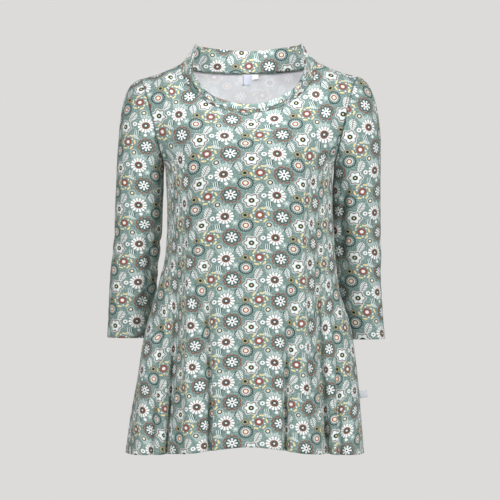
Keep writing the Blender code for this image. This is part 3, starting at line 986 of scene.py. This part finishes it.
def grown(grid, axis, first, source=None):
    """A grid with one more row or column: its own first or last one again, or another grid's."""
    more = np.take(grid if source is None else source, [0 if first else -1], axis=axis)
    return np.concatenate([more, grid] if first else [grid, more], axis=axis)


def turned_in(points, flat, edges, sides, closed):
    """Adds the seam allowance that turns in behind each named side of a grid."""
    hidden = points - normals_of(points, closed) * ALLOWANCE
    for side, axis, first in (("right", 1, True), ("left", 1, False), ("top", 0, False), ("bottom", 0, True)):
        if side in sides:
            points = grown(points, axis, first, hidden)
            hidden, flat, edges = (grown(grid, axis, first) for grid in (hidden, flat, edges))
    return points, flat, edges


def reach_from_edges(points, sides):
    """Distance along the cloth from the lowest row, and from the nearest of the named sides."""
    from_right, from_low = running(spans(points, 1), 1), running(spans(points, 0), 0)
    reach = {"right": from_right, "left": from_right[:, -1:] - from_right}
    reach |= {"bottom": from_low, "top": from_low[-1:] - from_low}
    nearest = np.minimum.reduce([reach[side] for side in sides])
    return np.stack([from_low, nearest], axis=-1)


def hem_shape(from_hem):
    """How a turned hem stands out, with the hollow that its stitching draws in."""
    turned = HEM_RISE * ease((HEM_TURN + 2 * MM - from_hem) / (3 * MM))
    return turned - HEM_HOLLOW * np.exp(-(((from_hem - HEM_STITCH) / HEM_HOLLOW_WIDTH) ** 2))


def panel_creases(points, back):
    """How far a panel's creases and deep folds stand out at its points, fading to its seams."""
    creases, folds = (BACK_CREASES, BACK_DEEP_FOLDS) if back else (FRONT_CREASES, FRONT_DEEP_FOLDS)
    places = points[..., [0, 2]]
    push = crease_push(places, creases) + crease_push(places, folds, deep_fold)
    across = np.abs(np.linspace(-1, 1, points.shape[1]))
    row = np.linspace(0, 1, len(points))[:, None]
    return (push + unevenness(points, PANEL_UNEVEN)) * ((1 - across**10) * (1 - row**16))


def fine_panel(back):
    """The front's or back's cloth: grid, flat places and distances from its edges."""
    smooth = panel_points(back)
    normals = grid_normals(smooth) * (-1 if back else 1)
    points = smooth + normals * panel_creases(smooth, back)[..., None]
    if back:
        points, smooth = points[:, ::-1], smooth[:, ::-1]
    middle = ACROSS // 2
    edges = reach_from_edges(smooth, ("left", "right", "top"))
    flat = flat_cloth(smooth, chest_stretch(smooth), middle)
    flat[..., 0] += FOLD_FULLNESS * taken_up(smooth, points, middle)
    if not back:
        flat[..., 0] += gathered(smooth, middle)
    flat[..., 1] += flare_ease(smooth)
    points = points + grid_normals(points) * hem_shape(edges[..., :1])
    return points, flat, edges


def sleeve_creases(name, turn, height):
    """How far a sleeve's creases stand out at its points."""
    push = np.zeros(height.shape)
    share = np.linspace(0, 1, SLEEVE_CREASE_STEPS)
    for *places, out, width in SLEEVE_CREASES[name]:
        turns, heights = np.radians(places[:3]), np.array(places[3:]) * MM
        line = curve_through(*np.stack([turns, heights], axis=-1), SLEEVE_CREASE_STEPS)
        across = around(turn[:, None] - line[:, 0]) * SLEEVE_RADIUS
        away = np.hypot(across, height[..., None] - line[:, 1])
        fade = np.sqrt(np.sin(np.pi * np.clip(share[away.argmin(axis=-1)], 0.02, 0.98)))
        push += out * MM * fade * np.exp(-((away.min(axis=-1) / (width * MM)) ** 2))
    return push


def fine_sleeve(name):
    """A sleeve's cloth from cuff to armhole, opened along its underarm seam."""
    turn = np.linspace(-np.pi, np.pi, ROUND_SLEEVE + 1) * (1 if name == "sleeve_right" else -1)
    points = sleeve_grid(name, turn)
    push = unevenness(points, SLEEVE_UNEVEN) + sleeve_creases(name, turn, points[..., 2])
    row = np.linspace(1, 0, len(points))[:, None]
    centre = points.mean(axis=1, keepdims=True)
    out = unit((points - centre) * np.array([1, 1, 0.2]))
    points = points + out * (push * (1 - row**12))[..., None]
    points = points[::-1]
    edges = reach_from_edges(points, ("top", "left", "right"))
    points = points + normals_of(points, True) * hem_shape(edges[..., :1])
    flat = flat_cloth(points, 0 * points[..., 0], ROUND_SLEEVE // 2)
    lean, length = SLEEVE_HANG[name]
    flat[..., 1] *= length
    flat[..., 0] += lean * flat[..., 1]
    return points, flat, edges


def fine_collar():
    """The collar band's cloth from its seam to its top edge, opened behind the right shoulder."""
    turn = np.linspace(-np.pi, np.pi, ROUND_COLLAR + 1) + COLLAR_SEAM
    points = collar_grid(turn)
    degrees = np.degrees(around(turn)) * MM
    share = np.linspace(0, 1, len(points))[:, None]
    push = 0 * share * turn
    for at, height, out, wide, tall in zip(*COLLAR_CRUMPLES.values()):
        push += out * np.exp(-(((degrees - at) / wide) ** 2) - ((share - height) / tall) ** 2)
    push *= ease(share / CRUMPLES_FULL)
    points = points + normals_of(points, True) * push[..., None]
    edges = reach_from_edges(points, ("bottom",))
    edges[..., 0] = NO_HEM
    up = running(spans(points, 0), 0)
    across = running(spans(points, 1).mean(axis=0), 0)
    return points, np.stack([across + 0 * up, up], axis=-1), edges


def shell_mesh(name, points, layers, closed):
    """A mesh through a grid, with a UV map for each layer. A closed grid's last column is its first one."""
    rows, columns = points.shape[:2]
    index = np.arange(rows * columns).reshape(rows, columns)
    quads = np.stack([index[:-1, :-1], index[:-1, 1:], index[1:, 1:], index[1:, :-1]], axis=-1).reshape(-1, 4)
    shared = columns - 1 if closed else columns
    vertex = np.arange(rows)[:, None] * shared + np.arange(columns) % shared
    mesh = bpy.data.meshes.new(name)
    mesh.from_pydata(points[:, :shared].reshape(-1, 3).tolist(), [], vertex.ravel()[quads].tolist())
    mesh.shade_smooth()
    for layer, grid in layers.items():
        uv = mesh.uv_layers.new(name=layer)
        uv.data.foreach_set("uv", grid.reshape(-1, 2)[quads.ravel()].astype(np.float32).ravel())
    return mesh


def cloth_piece(name, grids, thickness, materials, closed):
    """A thin shell of cloth through a grid, with its flat places and edge distances as UV maps."""
    points, flat, edges = grids
    mesh = shell_mesh(name, points, {"Cloth": flat, "Edges": edges}, closed)
    for finish in materials:
        mesh.materials.append(finish)
    piece = bpy.data.objects.new(name, mesh)
    bpy.context.scene.collection.objects.link(piece)
    wall = piece.modifiers.new("wall", "SOLIDIFY")
    wall.thickness = thickness
    wall.offset = 0
    wall.use_rim = True
    wall.material_offset = len(materials) - 1
    return piece


def paint(red, green, blue):
    """A colour seen as these levels of 255."""
    levels = np.array([red, green, blue]) / 255
    linear = np.where(levels <= 0.04045, levels / 12.92, ((levels + 0.055) / 1.055) ** 2.4)
    return (*[float(v) for v in linear], 1.0)


SAGE = paint(124, 151, 146)
SLATE = paint(88, 114, 109)
PINE = paint(54, 78, 74)
NIGHT = paint(22, 36, 34)
MIST = paint(196, 212, 208)
MINT = paint(232, 245, 242)
WHITE = paint(253, 254, 253)
CREAM = paint(254, 243, 218)
BUTTER = paint(250, 230, 166)
OLIVE = paint(166, 168, 134)
BRICK = paint(148, 90, 76)
ROSE = paint(172, 70, 68)
BROWN = paint(118, 82, 76)
UMBER = paint(132, 92, 78)
REVERSE = paint(240, 240, 243)
THREAD = paint(140, 162, 156)
STUDIO = paint(220, 219, 217)
FLOOR = paint(226, 225, 223)


class Tree:
    """Shader maths in one node tree, in few words."""

    def __init__(self, tree):
        self.tree = tree

    def node(self, kind, **settings):
        made = self.tree.nodes.new(kind)
        for name, value in settings.items():
            setattr(made, name, value)
        return made

    def feed(self, socket, value):
        if isinstance(value, bpy.types.NodeSocket):
            self.tree.links.new(value, socket)
        else:
            socket.default_value = value

    def math(self, operation, *values):
        made = self.node("ShaderNodeMath", operation=operation)
        for socket, value in zip(made.inputs, values):
            self.feed(socket, value)
        return made.outputs[0]

    def parts(self, vector):
        """A vector's three parts."""
        made = self.node("ShaderNodeSeparateXYZ")
        self.feed(made.inputs[0], vector)
        return made.outputs

    def uv(self, name):
        return self.node("ShaderNodeUVMap", uv_map=name).outputs["UV"]

    def noise(self, place, scale):
        made = self.node("ShaderNodeTexNoise")
        made.inputs["Scale"].default_value = scale
        self.feed(made.inputs["Vector"], place)
        return made.outputs["Fac"]

    def placed(self, group, given):
        """A group of nodes with its inputs by name, and its outputs."""
        made = self.node("ShaderNodeGroup", node_tree=group)
        for label, value in given.items():
            self.feed(made.inputs[label], value)
        return made.outputs

    def fall(self, value, edge, soft=SOFT_EDGE):
        """1 where the value is under the edge and 0 past it."""
        made = self.node("ShaderNodeMapRange")
        self.feed(made.inputs["Value"], value)
        made.inputs["From Min"].default_value = edge - soft
        made.inputs["From Max"].default_value = edge + soft
        made.inputs["To Min"].default_value = 1
        made.inputs["To Max"].default_value = 0
        return made.outputs["Result"]

    def rise(self, value, edge, soft=SOFT_EDGE):
        return self.math("SUBTRACT", 1, self.fall(value, edge, soft))

    def band(self, value, low, high, soft=SOFT_EDGE):
        return self.math("MULTIPLY", self.rise(value, low, soft), self.fall(value, high, soft))

    def both(self, *masks):
        total = masks[0]
        for mask in masks[1:]:
            total = self.math("MULTIPLY", total, mask)
        return total

    def over(self, ground, mask, colour):
        """The ground's colour with another printed on it."""
        made = self.node("ShaderNodeMix", data_type="RGBA")
        for label, value in (("Factor", mask), ("A", ground), ("B", colour)):
            self.feed(made.inputs[label], value)
        return made.outputs["Result"]

    def bump(self, height, strength, distance, under=None):
        """The surface's normal with a height laid over it, or over another normal."""
        made = self.node("ShaderNodeBump")
        made.inputs["Strength"].default_value = strength
        made.inputs["Distance"].default_value = distance
        self.feed(made.inputs["Height"], height)
        if under:
            self.feed(made.inputs["Normal"], under)
        return made.outputs["Normal"]

    def rings(self, radius, outer, bands):
        """Colours by radius, from the middle out, each up to its own radius."""
        ramp = self.node("ShaderNodeValToRGB")
        self.feed(ramp.inputs["Fac"], self.math("DIVIDE", radius, outer))
        stops = ramp.color_ramp.elements
        stops[0].position, stops[0].color = 0, bands[0][1]
        stops.remove(stops[1])
        for (edge, colour), (_, following) in zip(bands, bands[1:]):
            for place, paint_there in ((edge - 0.3, colour), (edge + 0.3, following)):
                stops.new(place / outer).color = paint_there
        return ramp.outputs["Color"]

    def wave(self, turn, count):
        """Rises and falls so many times in one turn."""
        return self.math("COSINE", self.math("MULTIPLY", turn, float(count)))

    def petals(self, radius, turn, count, amount):
        """The radius as it has to be read for a lobed edge."""
        return self.math("SUBTRACT", radius, self.math("MULTIPLY", self.wave(turn, count), amount))


def new_group(name, inputs, outputs):
    """A new group of nodes with its named inputs and outputs."""
    made = bpy.data.node_groups.new(name, "ShaderNodeTree")
    for side, sockets in (("INPUT", inputs), ("OUTPUT", outputs)):
        for label, kind in sockets.items():
            made.interface.new_socket(label, in_out=side, socket_type=f"NodeSocket{kind}")
    return made, made.nodes.new("NodeGroupInput").outputs, made.nodes.new("NodeGroupOutput").inputs


def nearest_motif_group():
    """Where a place lies from the nearest copy of a motif, in columns that each drop by half a repeat."""
    places = dict.fromkeys(("X", "Y", "Centre X", "Centre Y"), "Float")
    made, given, out = new_group("nearest_motif", places, dict.fromkeys(MOTIF_PLACE, "Float"))
    g = Tree(made)
    x = g.math("SUBTRACT", given["X"], given["Centre X"])
    y = g.math("SUBTRACT", given["Y"], given["Centre Y"])
    column_number = g.math("ROUND", g.math("DIVIDE", x, COLUMN_STEP))
    across = g.math("MULTIPLY_ADD", column_number, -COLUMN_STEP, x)
    dropped = g.math("MULTIPLY_ADD", column_number, ROW_STEP / 2, y)
    row_number = g.math("ROUND", g.math("DIVIDE", dropped, ROW_STEP))
    up = g.math("MULTIPLY_ADD", row_number, -ROW_STEP, dropped)
    tall = g.math("DIVIDE", up, MOTIF_SQUASH)
    radius = g.math("SQRT", g.math("ADD", g.math("MULTIPLY", across, across), g.math("MULTIPLY", tall, tall)))
    turn = g.math("ARCTAN2", tall, across)
    for label, value in zip(MOTIF_PLACE, (across, up, radius, turn)):
        g.feed(out[label], value)
    return made


class Print(Tree):
    """A print built up colour over colour, at a place on the flat cloth."""

    def __init__(self, tree, nearest, place):
        super().__init__(tree)
        self.nearest = nearest
        self.place = [self.math("MULTIPLY", part, 1 / MM) for part in self.parts(place)[:2]]
        self.colour = SAGE

    def motif(self, name):
        """Across, up, radius and turn from the nearest copy of a motif."""
        labels = ("X", "Y", "Centre X", "Centre Y")
        found = self.placed(self.nearest, dict(zip(labels, (*self.place, *MOTIFS[name]))))
        return [found[label] for label in MOTIF_PLACE]

    def dab(self, mask, colour):
        self.colour = self.over(self.colour, mask, colour)

    def disc(self, radius, edge, colour, soft=SOFT_EDGE):
        self.dab(self.fall(radius, edge, soft), colour)

    def leaning(self, spot, middle, lean):
        """Along and beside a line through a middle, which leans by some degrees."""
        a, b = (self.math("SUBTRACT", spot[k], middle[k]) for k in (0, 1))
        cosine, sine = math.cos(math.radians(lean)), math.sin(math.radians(lean))
        along = self.math("ADD", self.math("MULTIPLY", a, cosine), self.math("MULTIPLY", b, sine))
        beside = self.math("SUBTRACT", self.math("MULTIPLY", b, cosine), self.math("MULTIPLY", a, sine))
        return along, beside

    def leaf(self, spot, middle, lean, half_long, half_wide, strength, barb_colour, rib_colour):
        """A pale leaf of slanting barbs on a rib."""
        along, beside = self.leaning(spot, middle, lean)
        beside = self.math("ABSOLUTE", beside)
        slanted = self.math("MULTIPLY_ADD", beside, -0.6, along)
        share = self.math("MULTIPLY_ADD", slanted, 1 / half_long, 0.2)
        room = self.math("MULTIPLY_ADD", self.math("MULTIPLY", share, share), -half_wide, half_wide)
        shape = self.fall(self.math("SUBTRACT", beside, room), 0.0, 0.5)
        barbs = self.math("SINE", self.math("MULTIPLY", slanted, 2 * math.pi / BARB_STEP))
        stripe = self.math("MULTIPLY_ADD", self.rise(barbs, -0.1, 0.4), 0.9, 0.1)
        self.dab(self.both(shape, stripe, strength), barb_colour)
        length = self.fall(self.math("ABSOLUTE", along), half_long * 0.9, 0.6)
        self.dab(self.both(self.fall(beside, 0.55, 0.35), length), rib_colour)

    def strokes(self, spot, middle, lean, gap, half_count, half_long, half_thick, colour):
        """A few short parallel strokes."""
        along, beside = self.leaning(spot, middle, lean)
        stroke = self.fall(self.math("PINGPONG", beside, gap / 2), half_thick, 0.35)
        rows = self.fall(self.math("ABSOLUTE", beside), half_count * gap, 0.4)
        self.dab(self.both(rows, self.fall(self.math("ABSOLUTE", along), half_long, 0.6), stroke), colour)


def mottled_ground(g, place):
    """Pale and dark flecks in the print's ground."""
    fleck = g.noise(place, 420)
    g.dab(g.both(g.rise(fleck, 0.6, 0.1), 0.7), MIST)
    g.dab(g.both(g.fall(fleck, 0.42, 0.08), 0.6), SLATE)


def faint_leaves(g, daisy, rosette, star):
    """Faint leaves, strokes and petals behind the flowers."""
    _, _, radius, turn = daisy
    edge = g.band(g.petals(radius, turn, 14, 1.6), 15, 23.5, 0.8)
    upper = g.rise(g.math("SINE", turn), 0.72, 0.1)
    g.dab(g.both(edge, upper, g.math("MULTIPLY_ADD", g.wave(turn, 28), 0.25, 0.45)), MINT)
    g.strokes(daisy, (-12, -16.5), 98, 3.4, 1.9, 4.8, 0.75, PINE)
    g.strokes(daisy, (-13.7, -16.5), 98, 3.4, 1.5, 5.2, 0.75, MINT)
    g.leaf(daisy, (-14, -24), 160, 8.5, 3.0, 0.9, WHITE, MIST)
    g.leaf(rosette, (13.5, -24), 112, 11.5, 6.4, 0.95, WHITE, SLATE)
    g.strokes(rosette, (6, -20.5), 58, 6.0, 0.75, 4.8, 0.95, PINE)
    g.leaf(star, (12.3, 20.8), 61, 12.0, 6.8, 0.95, WHITE, UMBER)
    _, _, radius, turn = g.motif("pale flower")
    g.dab(g.both(g.fall(g.petals(radius, turn, 6, 1.4), 5.6, 0.6), 0.75), MIST)
    g.disc(radius, 2.0, MINT)


def daisy_flower(g, radius, turn):
    """Many white petals round a brown ring."""
    g.disc(g.petals(radius, turn, 14, 0.5), 15.2, WHITE)
    gaps = g.fall(g.wave(turn, 14), -0.7, 0.16)
    g.dab(g.both(gaps, g.rise(radius, 8.6, 1.0), g.fall(radius, 16), 0.9), SLATE)
    g.disc(radius, 8, g.rings(radius, 8.2, [(2.1, MINT), (4.5, PINE), (7.7, UMBER), (8.2, MIST)]))


def rosette_flower(g, radius, turn):
    """Brick dashes round a dark pointed ground and a white flower."""
    wave = g.wave(turn, 8)
    g.dab(g.both(g.band(radius, 14.4, 17.2), g.fall(wave, 0.8, 0.1)), BRICK)
    g.disc(g.math("MULTIPLY_ADD", wave, -1.1, radius), 13.4, SLATE)
    g.dab(g.band(g.math("MULTIPLY_ADD", wave, -1.5, radius), 11.2, 12.6), PINE)
    g.dab(g.both(g.fall(radius, 10.4, 0.7), g.rise(wave, -0.05, 0.35)), WHITE)
    g.disc(radius, 4.4, WHITE)
    g.disc(radius, 1.9, NIGHT)


def star_flower(g, radius, turn):
    """A wavy brown outline of six points in a pale halo."""
    wavy = g.petals(radius, turn, 6, 1.7)
    g.dab(g.both(g.fall(wavy, 14.4, 1.6), 0.9), WHITE)
    g.disc(wavy, 13.4, g.rings(wavy, 14, [(7.0, WHITE), (10.9, MINT), (13.0, BROWN), (13.9, WHITE)]))
    g.disc(radius, 5.4, g.rings(radius, 6, [(1.7, BUTTER), (3.4, NIGHT), (4.9, PINE), (5.6, MIST)]))


def beaded_flower(g, radius, turn):
    """A brick flower in a turning ring of six yellow dashes and six white beads."""
    sixth = g.math("MULTIPLY_ADD", turn, 6.0, math.radians(-63))
    wheel = g.math("MULTIPLY_ADD", g.math("SINE", sixth), 0.6, radius)
    wave = g.math("COSINE", sixth)
    g.dab(g.both(g.band(wheel, 13.1, 16.2), g.rise(wave, -0.12, 0.2)), BUTTER)
    g.dab(g.both(g.band(radius, 9.8, 12.6), g.fall(wave, -0.72, 0.14)), WHITE)
    g.disc(g.petals(radius, turn, 14, 0.3), 8.0, BRICK)
    g.disc(radius, 3.5, WHITE, 0.6)


def dark_edged_flower(g, radius, turn):
    """A cream and rose heart with pale rays in a scalloped dark edge."""
    ticks = g.wave(turn, 16)
    scalloped = g.math("MULTIPLY_ADD", ticks, -0.5, radius)
    g.disc(scalloped, 13.3, PINE)
    g.dab(g.both(g.band(radius, 11.2, 13.0), g.rise(ticks, 0.2, 0.3)), NIGHT)
    g.disc(scalloped, 11.0, g.over(SLATE, g.math("MULTIPLY_ADD", ticks, 0.3, 0.35), MIST), 0.7)
    heart = g.rings(radius, 8.6, [(3.4, CREAM), (5.7, ROSE), (7.2, MINT), (8.5, MIST)])
    g.disc(radius, 7.8, heart, 0.8)


def round_fillers(g):
    """Dots and beads between the flowers."""
    radius = g.motif("olive dot")[2]
    g.disc(radius, 6.8, g.rings(radius, 7, [(2.1, NIGHT), (3.0, PINE), (5.6, OLIVE), (6.9, UMBER)]))
    radius = g.motif("cream dot")[2]
    dot = g.rings(radius, 8, [(2.8, CREAM), (5.0, NIGHT), (5.9, MINT), (6.4, SAGE), (7.9, MIST)])
    g.disc(radius, 7.1, dot)
    radius = g.motif("bead")[2]
    g.disc(radius, 4.5, WHITE)
    g.disc(radius, 1.5, NIGHT)
    g.disc(g.motif("speck")[2], 3.2, WHITE)


def floral_group(nearest):
    """The whole print's colour at a place on the flat cloth."""
    made, given, out = new_group("floral_print", {"Place": "Vector"}, {"Colour": "Color"})
    g = Print(made, nearest, given["Place"])
    mottled_ground(g, given["Place"])
    daisy, rosette, star = (g.motif(name) for name in ("daisy", "rosette", "star"))
    faint_leaves(g, daisy, rosette, star)
    daisy_flower(g, *daisy[2:])
    rosette_flower(g, *rosette[2:])
    star_flower(g, *star[2:])
    beaded_flower(g, *g.motif("beaded flower")[2:])
    dark_edged_flower(g, *g.motif("dark-edged flower")[2:])
    round_fillers(g)
    g.feed(out["Colour"], g.colour)
    return made


def knit_group():
    """Fine ribs of the knit, as height."""
    made, given, out = new_group("jersey_knit", {"Place": "Vector"}, {"Height": "Float"})
    g = Tree(made)
    across, up, _ = g.parts(given["Place"])
    wales = g.math("SINE", g.math("MULTIPLY", across, 2 * math.pi / WALE))
    courses = g.math("SINE", g.math("MULTIPLY", up, 2 * math.pi / COURSE))
    g.feed(out["Height"], g.math("MULTIPLY_ADD", courses, 0.4, wales))
    return made


def sewing_and_seam_shade_group():
    """Twin stitching along a hem, the soft groove and puckers beside a seam, and a mask of painted shade
    along the seam.
    """
    outputs = {"Thread": "Float", "Seam": "Float", "Height": "Float"}
    made, given, out = new_group("sewing", {"Place": "Vector", "Edges": "Vector"}, outputs)
    g = Tree(made)
    across, edges = g.parts(given["Place"])[0], g.parts(given["Edges"])
    from_hem, from_seam = (g.math("MULTIPLY", edges[k], 1 / MM) for k in (0, 1))
    dash = g.rise(g.math("SINE", g.math("MULTIPLY", across, 2 * math.pi / STITCH)), -0.5, 0.3)
    lines = g.math("ADD", g.band(from_hem, 15.6, 16.3, 0.2), g.band(from_hem, 18.6, 19.3, 0.2))
    thread = g.both(lines, dash)
    ripple = g.both(g.fall(from_seam, 5.0, 5.0), g.noise(given["Place"], 140))
    groove = g.math("MULTIPLY", g.fall(from_seam, 1.2, 1.0), -1.0)
    g.feed(out["Thread"], thread)
    # Seam: a mask of painted shade along each seam, where the groove would lie in shadow
    g.feed(out["Seam"], g.fall(from_seam, 1.1, 0.9))
    g.feed(out["Height"], g.math("ADD", g.math("ADD", groove, ripple), g.math("MULTIPLY", thread, 0.6)))
    return made


def new_material(name):
    """A material with its shader."""
    material = bpy.data.materials.new(name)
    material.use_nodes = True
    return material, material.node_tree.nodes["Principled BSDF"]


def facing_place(g, place):
    """Where the collar's inner layer was cut, seen from within."""
    cut = g.node("ShaderNodeVectorMath", operation="MULTIPLY_ADD")
    g.feed(cut.inputs[0], place)
    cut.inputs[1].default_value = FACING_MIRRORED
    cut.inputs[2].default_value = FACING_PLACE
    return cut.outputs[0]


def cloth_shader(name, groups, printed, within=False):
    """Printed face or pale reverse of the jersey, or the printed inside of the collar."""
    material, shader = new_material(name)
    g = Tree(material.node_tree)
    place = facing_place(g, g.uv("Cloth")) if within else g.uv("Cloth")
    colour = g.placed(groups["floral"], {"Place": place})["Colour"]
    sewing = g.placed(groups["sewing"], {"Place": place, "Edges": g.uv("Edges")})
    knit = g.placed(groups["knit"], {"Place": place})
    if not printed:
        colour = g.over(colour, GHOST_COVER, REVERSE)
    colour = g.over(colour, g.math("MULTIPLY", sewing["Thread"], THREAD_COVER), THREAD)
    # Painted shade along the seams: the printed face darkens towards pine there
    if printed:
        colour = g.over(colour, g.math("MULTIPLY", sewing["Seam"], PAINTED_SEAM_SHADE), PINE)
    g.feed(shader.inputs["Base Color"], colour)
    shader.inputs["Roughness"].default_value = 0.82
    shader.inputs["Specular IOR Level"].default_value = 0.2
    shader.inputs["Sheen Weight"].default_value = 0.12
    shader.inputs["Sheen Roughness"].default_value = 0.5
    fine = g.bump(knit["Height"], 0.25, 0.12 * MM)
    g.feed(shader.inputs["Normal"], g.bump(sewing["Height"], 0.6, 0.5 * MM, fine))
    return material


def ribbon_shader(name, tint):
    """Woven label ribbon with fine cross ribs."""
    material, shader = new_material(name)
    g = Tree(material.node_tree)
    weave = g.node("ShaderNodeTexWave", bands_direction="Y")
    weave.inputs["Scale"].default_value = 500
    g.feed(weave.inputs["Vector"], g.uv("Cloth"))
    shader.inputs["Base Color"].default_value = tint
    shader.inputs["Roughness"].default_value = 0.55
    shader.inputs["Sheen Weight"].default_value = 0.2
    g.feed(shader.inputs["Normal"], g.bump(weave.outputs["Fac"], 0.3, 0.1 * MM))
    return material


def folded_ribbon(points, gap):
    """A ribbon doubled back on itself: down its face, round the fold and up behind."""
    normals = grid_normals(points)
    past = unit(points[-1] - points[-2])
    layers = [points + normals * gap]
    for turn in np.radians([60, 30, 0, -30, -60]):
        layers.append((points[-1] + normals[-1] * gap * math.sin(turn) + past * gap * math.cos(turn))[None])
    layers.append((points - normals * gap)[::-1])
    return np.concatenate(layers)


def label_piece(name, points, material):
    """A folded label sewn in by its open ends, with its flat size."""
    ribbon = folded_ribbon(points, RIBBON_GAP)
    x, y = running(spans(ribbon, 1).mean(axis=0), 0), running(spans(ribbon, 0).mean(axis=1), 0)
    flat = np.stack(np.meshgrid(x, y), axis=-1)
    piece = cloth_piece(name, (ribbon, flat, 0 * flat + 1), RIBBON, [material], False)
    return piece, flat[-1, -1]


def build_panels():
    """Front, back, sleeves and collar."""
    groups = {"floral": floral_group(nearest_motif_group()), "sewing": sewing_and_seam_shade_group(), "knit": knit_group()}
    face = cloth_shader("printed_jersey", groups, True)
    reverse = cloth_shader("jersey_reverse", groups, False)
    facing = cloth_shader("printed_jersey_facing", groups, True, True)
    grids = {"front": fine_panel(False), "back": fine_panel(True)}
    grids |= {name: fine_sleeve(name) for name in ("sleeve_left", "sleeve_right")}
    grids["collar"] = fine_collar()
    for node, (points, flat, edges) in grids.items():
        closed = node not in ("front", "back")
        grid = turned_in(points, flat + np.array(CUT_PLACES[node]), edges, TURNED_IN[node], closed)
        thick, inside = (BAND, facing) if node == "collar" else (JERSEY, reverse)
        piece = cloth_piece(f"{node}_cloth", grid, thick, [face, inside], closed)
        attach(piece, "root")
        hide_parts(node)


def build_labels():
    """The three folded labels."""
    for node, tint in LABEL_TINTS.items():
        beside = node == "side_label"
        points = np.swapaxes(side_label_points(), 0, 1) if beside else label_points(LABELS[node])[::-1]
        weave = ribbon_shader(f"{node}_weave", paint(*tint))
        piece, (width, length) = label_piece(f"{node}_ribbon", points, weave)
        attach(piece, "root")
        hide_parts(node)


def soft_light(name, place, aim, size, power):
    """A large soft light aimed at a place."""
    light = bpy.data.lights.new(name, "AREA")
    light.shape = "RECTANGLE"
    light.size, light.size_y = size
    light.energy = power
    lamp = bpy.data.objects.new(name, light)
    lamp.location = place
    toward = mathutils.Vector(aim) - mathutils.Vector(place)
    lamp.rotation_euler = toward.to_track_quat("-Z", "Y").to_euler()
    bpy.context.scene.collection.objects.link(lamp)
    return light


def pale_world():
    """Pale surroundings, which the camera sees brighter than they light the cloth."""
    world = bpy.data.worlds.new("pale_studio")
    world.use_nodes = True
    tree = world.node_tree
    seen, glow = tree.nodes["Background"], tree.nodes.new("ShaderNodeBackground")
    for shade, strength in ((seen, 1), (glow, GLOW)):
        shade.inputs["Color"].default_value = STUDIO
        shade.inputs["Strength"].default_value = strength
    pick, ray = tree.nodes.new("ShaderNodeMixShader"), tree.nodes.new("ShaderNodeLightPath")
    tree.links.new(ray.outputs["Is Camera Ray"], pick.inputs[0])
    tree.links.new(glow.outputs[0], pick.inputs[1])
    tree.links.new(seen.outputs[0], pick.inputs[2])
    tree.links.new(pick.outputs[0], tree.nodes["World Output"].inputs["Surface"])
    bpy.context.scene.world = world


def pale_floor():
    """The round floor under the tunic, which isn't part of it."""
    place = (0, 0, FLOOR_HEIGHT)
    bpy.ops.mesh.primitive_circle_add(vertices=96, radius=FLOOR_RADIUS, fill_type="NGON", location=place)
    floor = bpy.context.object
    floor.name = "pale_floor"
    finish, shader = new_material("pale_floor")
    shader.inputs["Base Color"].default_value = FLOOR
    shader.inputs["Roughness"].default_value = 0.9
    floor.data.materials.append(finish)


def front_camera():
    """The camera straight in front."""
    lens = bpy.data.cameras.new("front_view")
    lens.sensor_width = SENSOR
    lens.lens = CAMERA_LENS
    camera = bpy.data.objects.new("front_view", lens)
    camera.location = CAMERA_PLACE
    camera.rotation_euler = (math.pi / 2, 0, 0)
    bpy.context.scene.collection.objects.link(camera)
    bpy.context.scene.camera = camera


def studio():
    """Pale floor and surroundings, soft lights and the camera at the front."""
    pale_world()
    pale_floor()
    soft_light("left_softbox", (-1.5, -1.7, 0.45), (0, 0, -0.2), (0.8, 1.0), LEFT_POWER)
    soft_light("right_softbox", (1.5, -1.7, 0.45), (0, 0, -0.2), (0.8, 1.0), RIGHT_POWER)
    neck = soft_light("neck_softbox", (0, -1.2, 0.4), (0, 0.06, -0.05), (0.2, 0.14), NECK_POWER)
    neck.spread = math.radians(NECK_SPREAD)
    soft_light("back_softbox", (0, 2.2, 0.4), (0, 0, -0.3), (1.4, 1.0), BACK_POWER)
    front_camera()
    bpy.context.scene.view_settings.view_transform = "Standard"


build_panels()
build_labels()
studio()
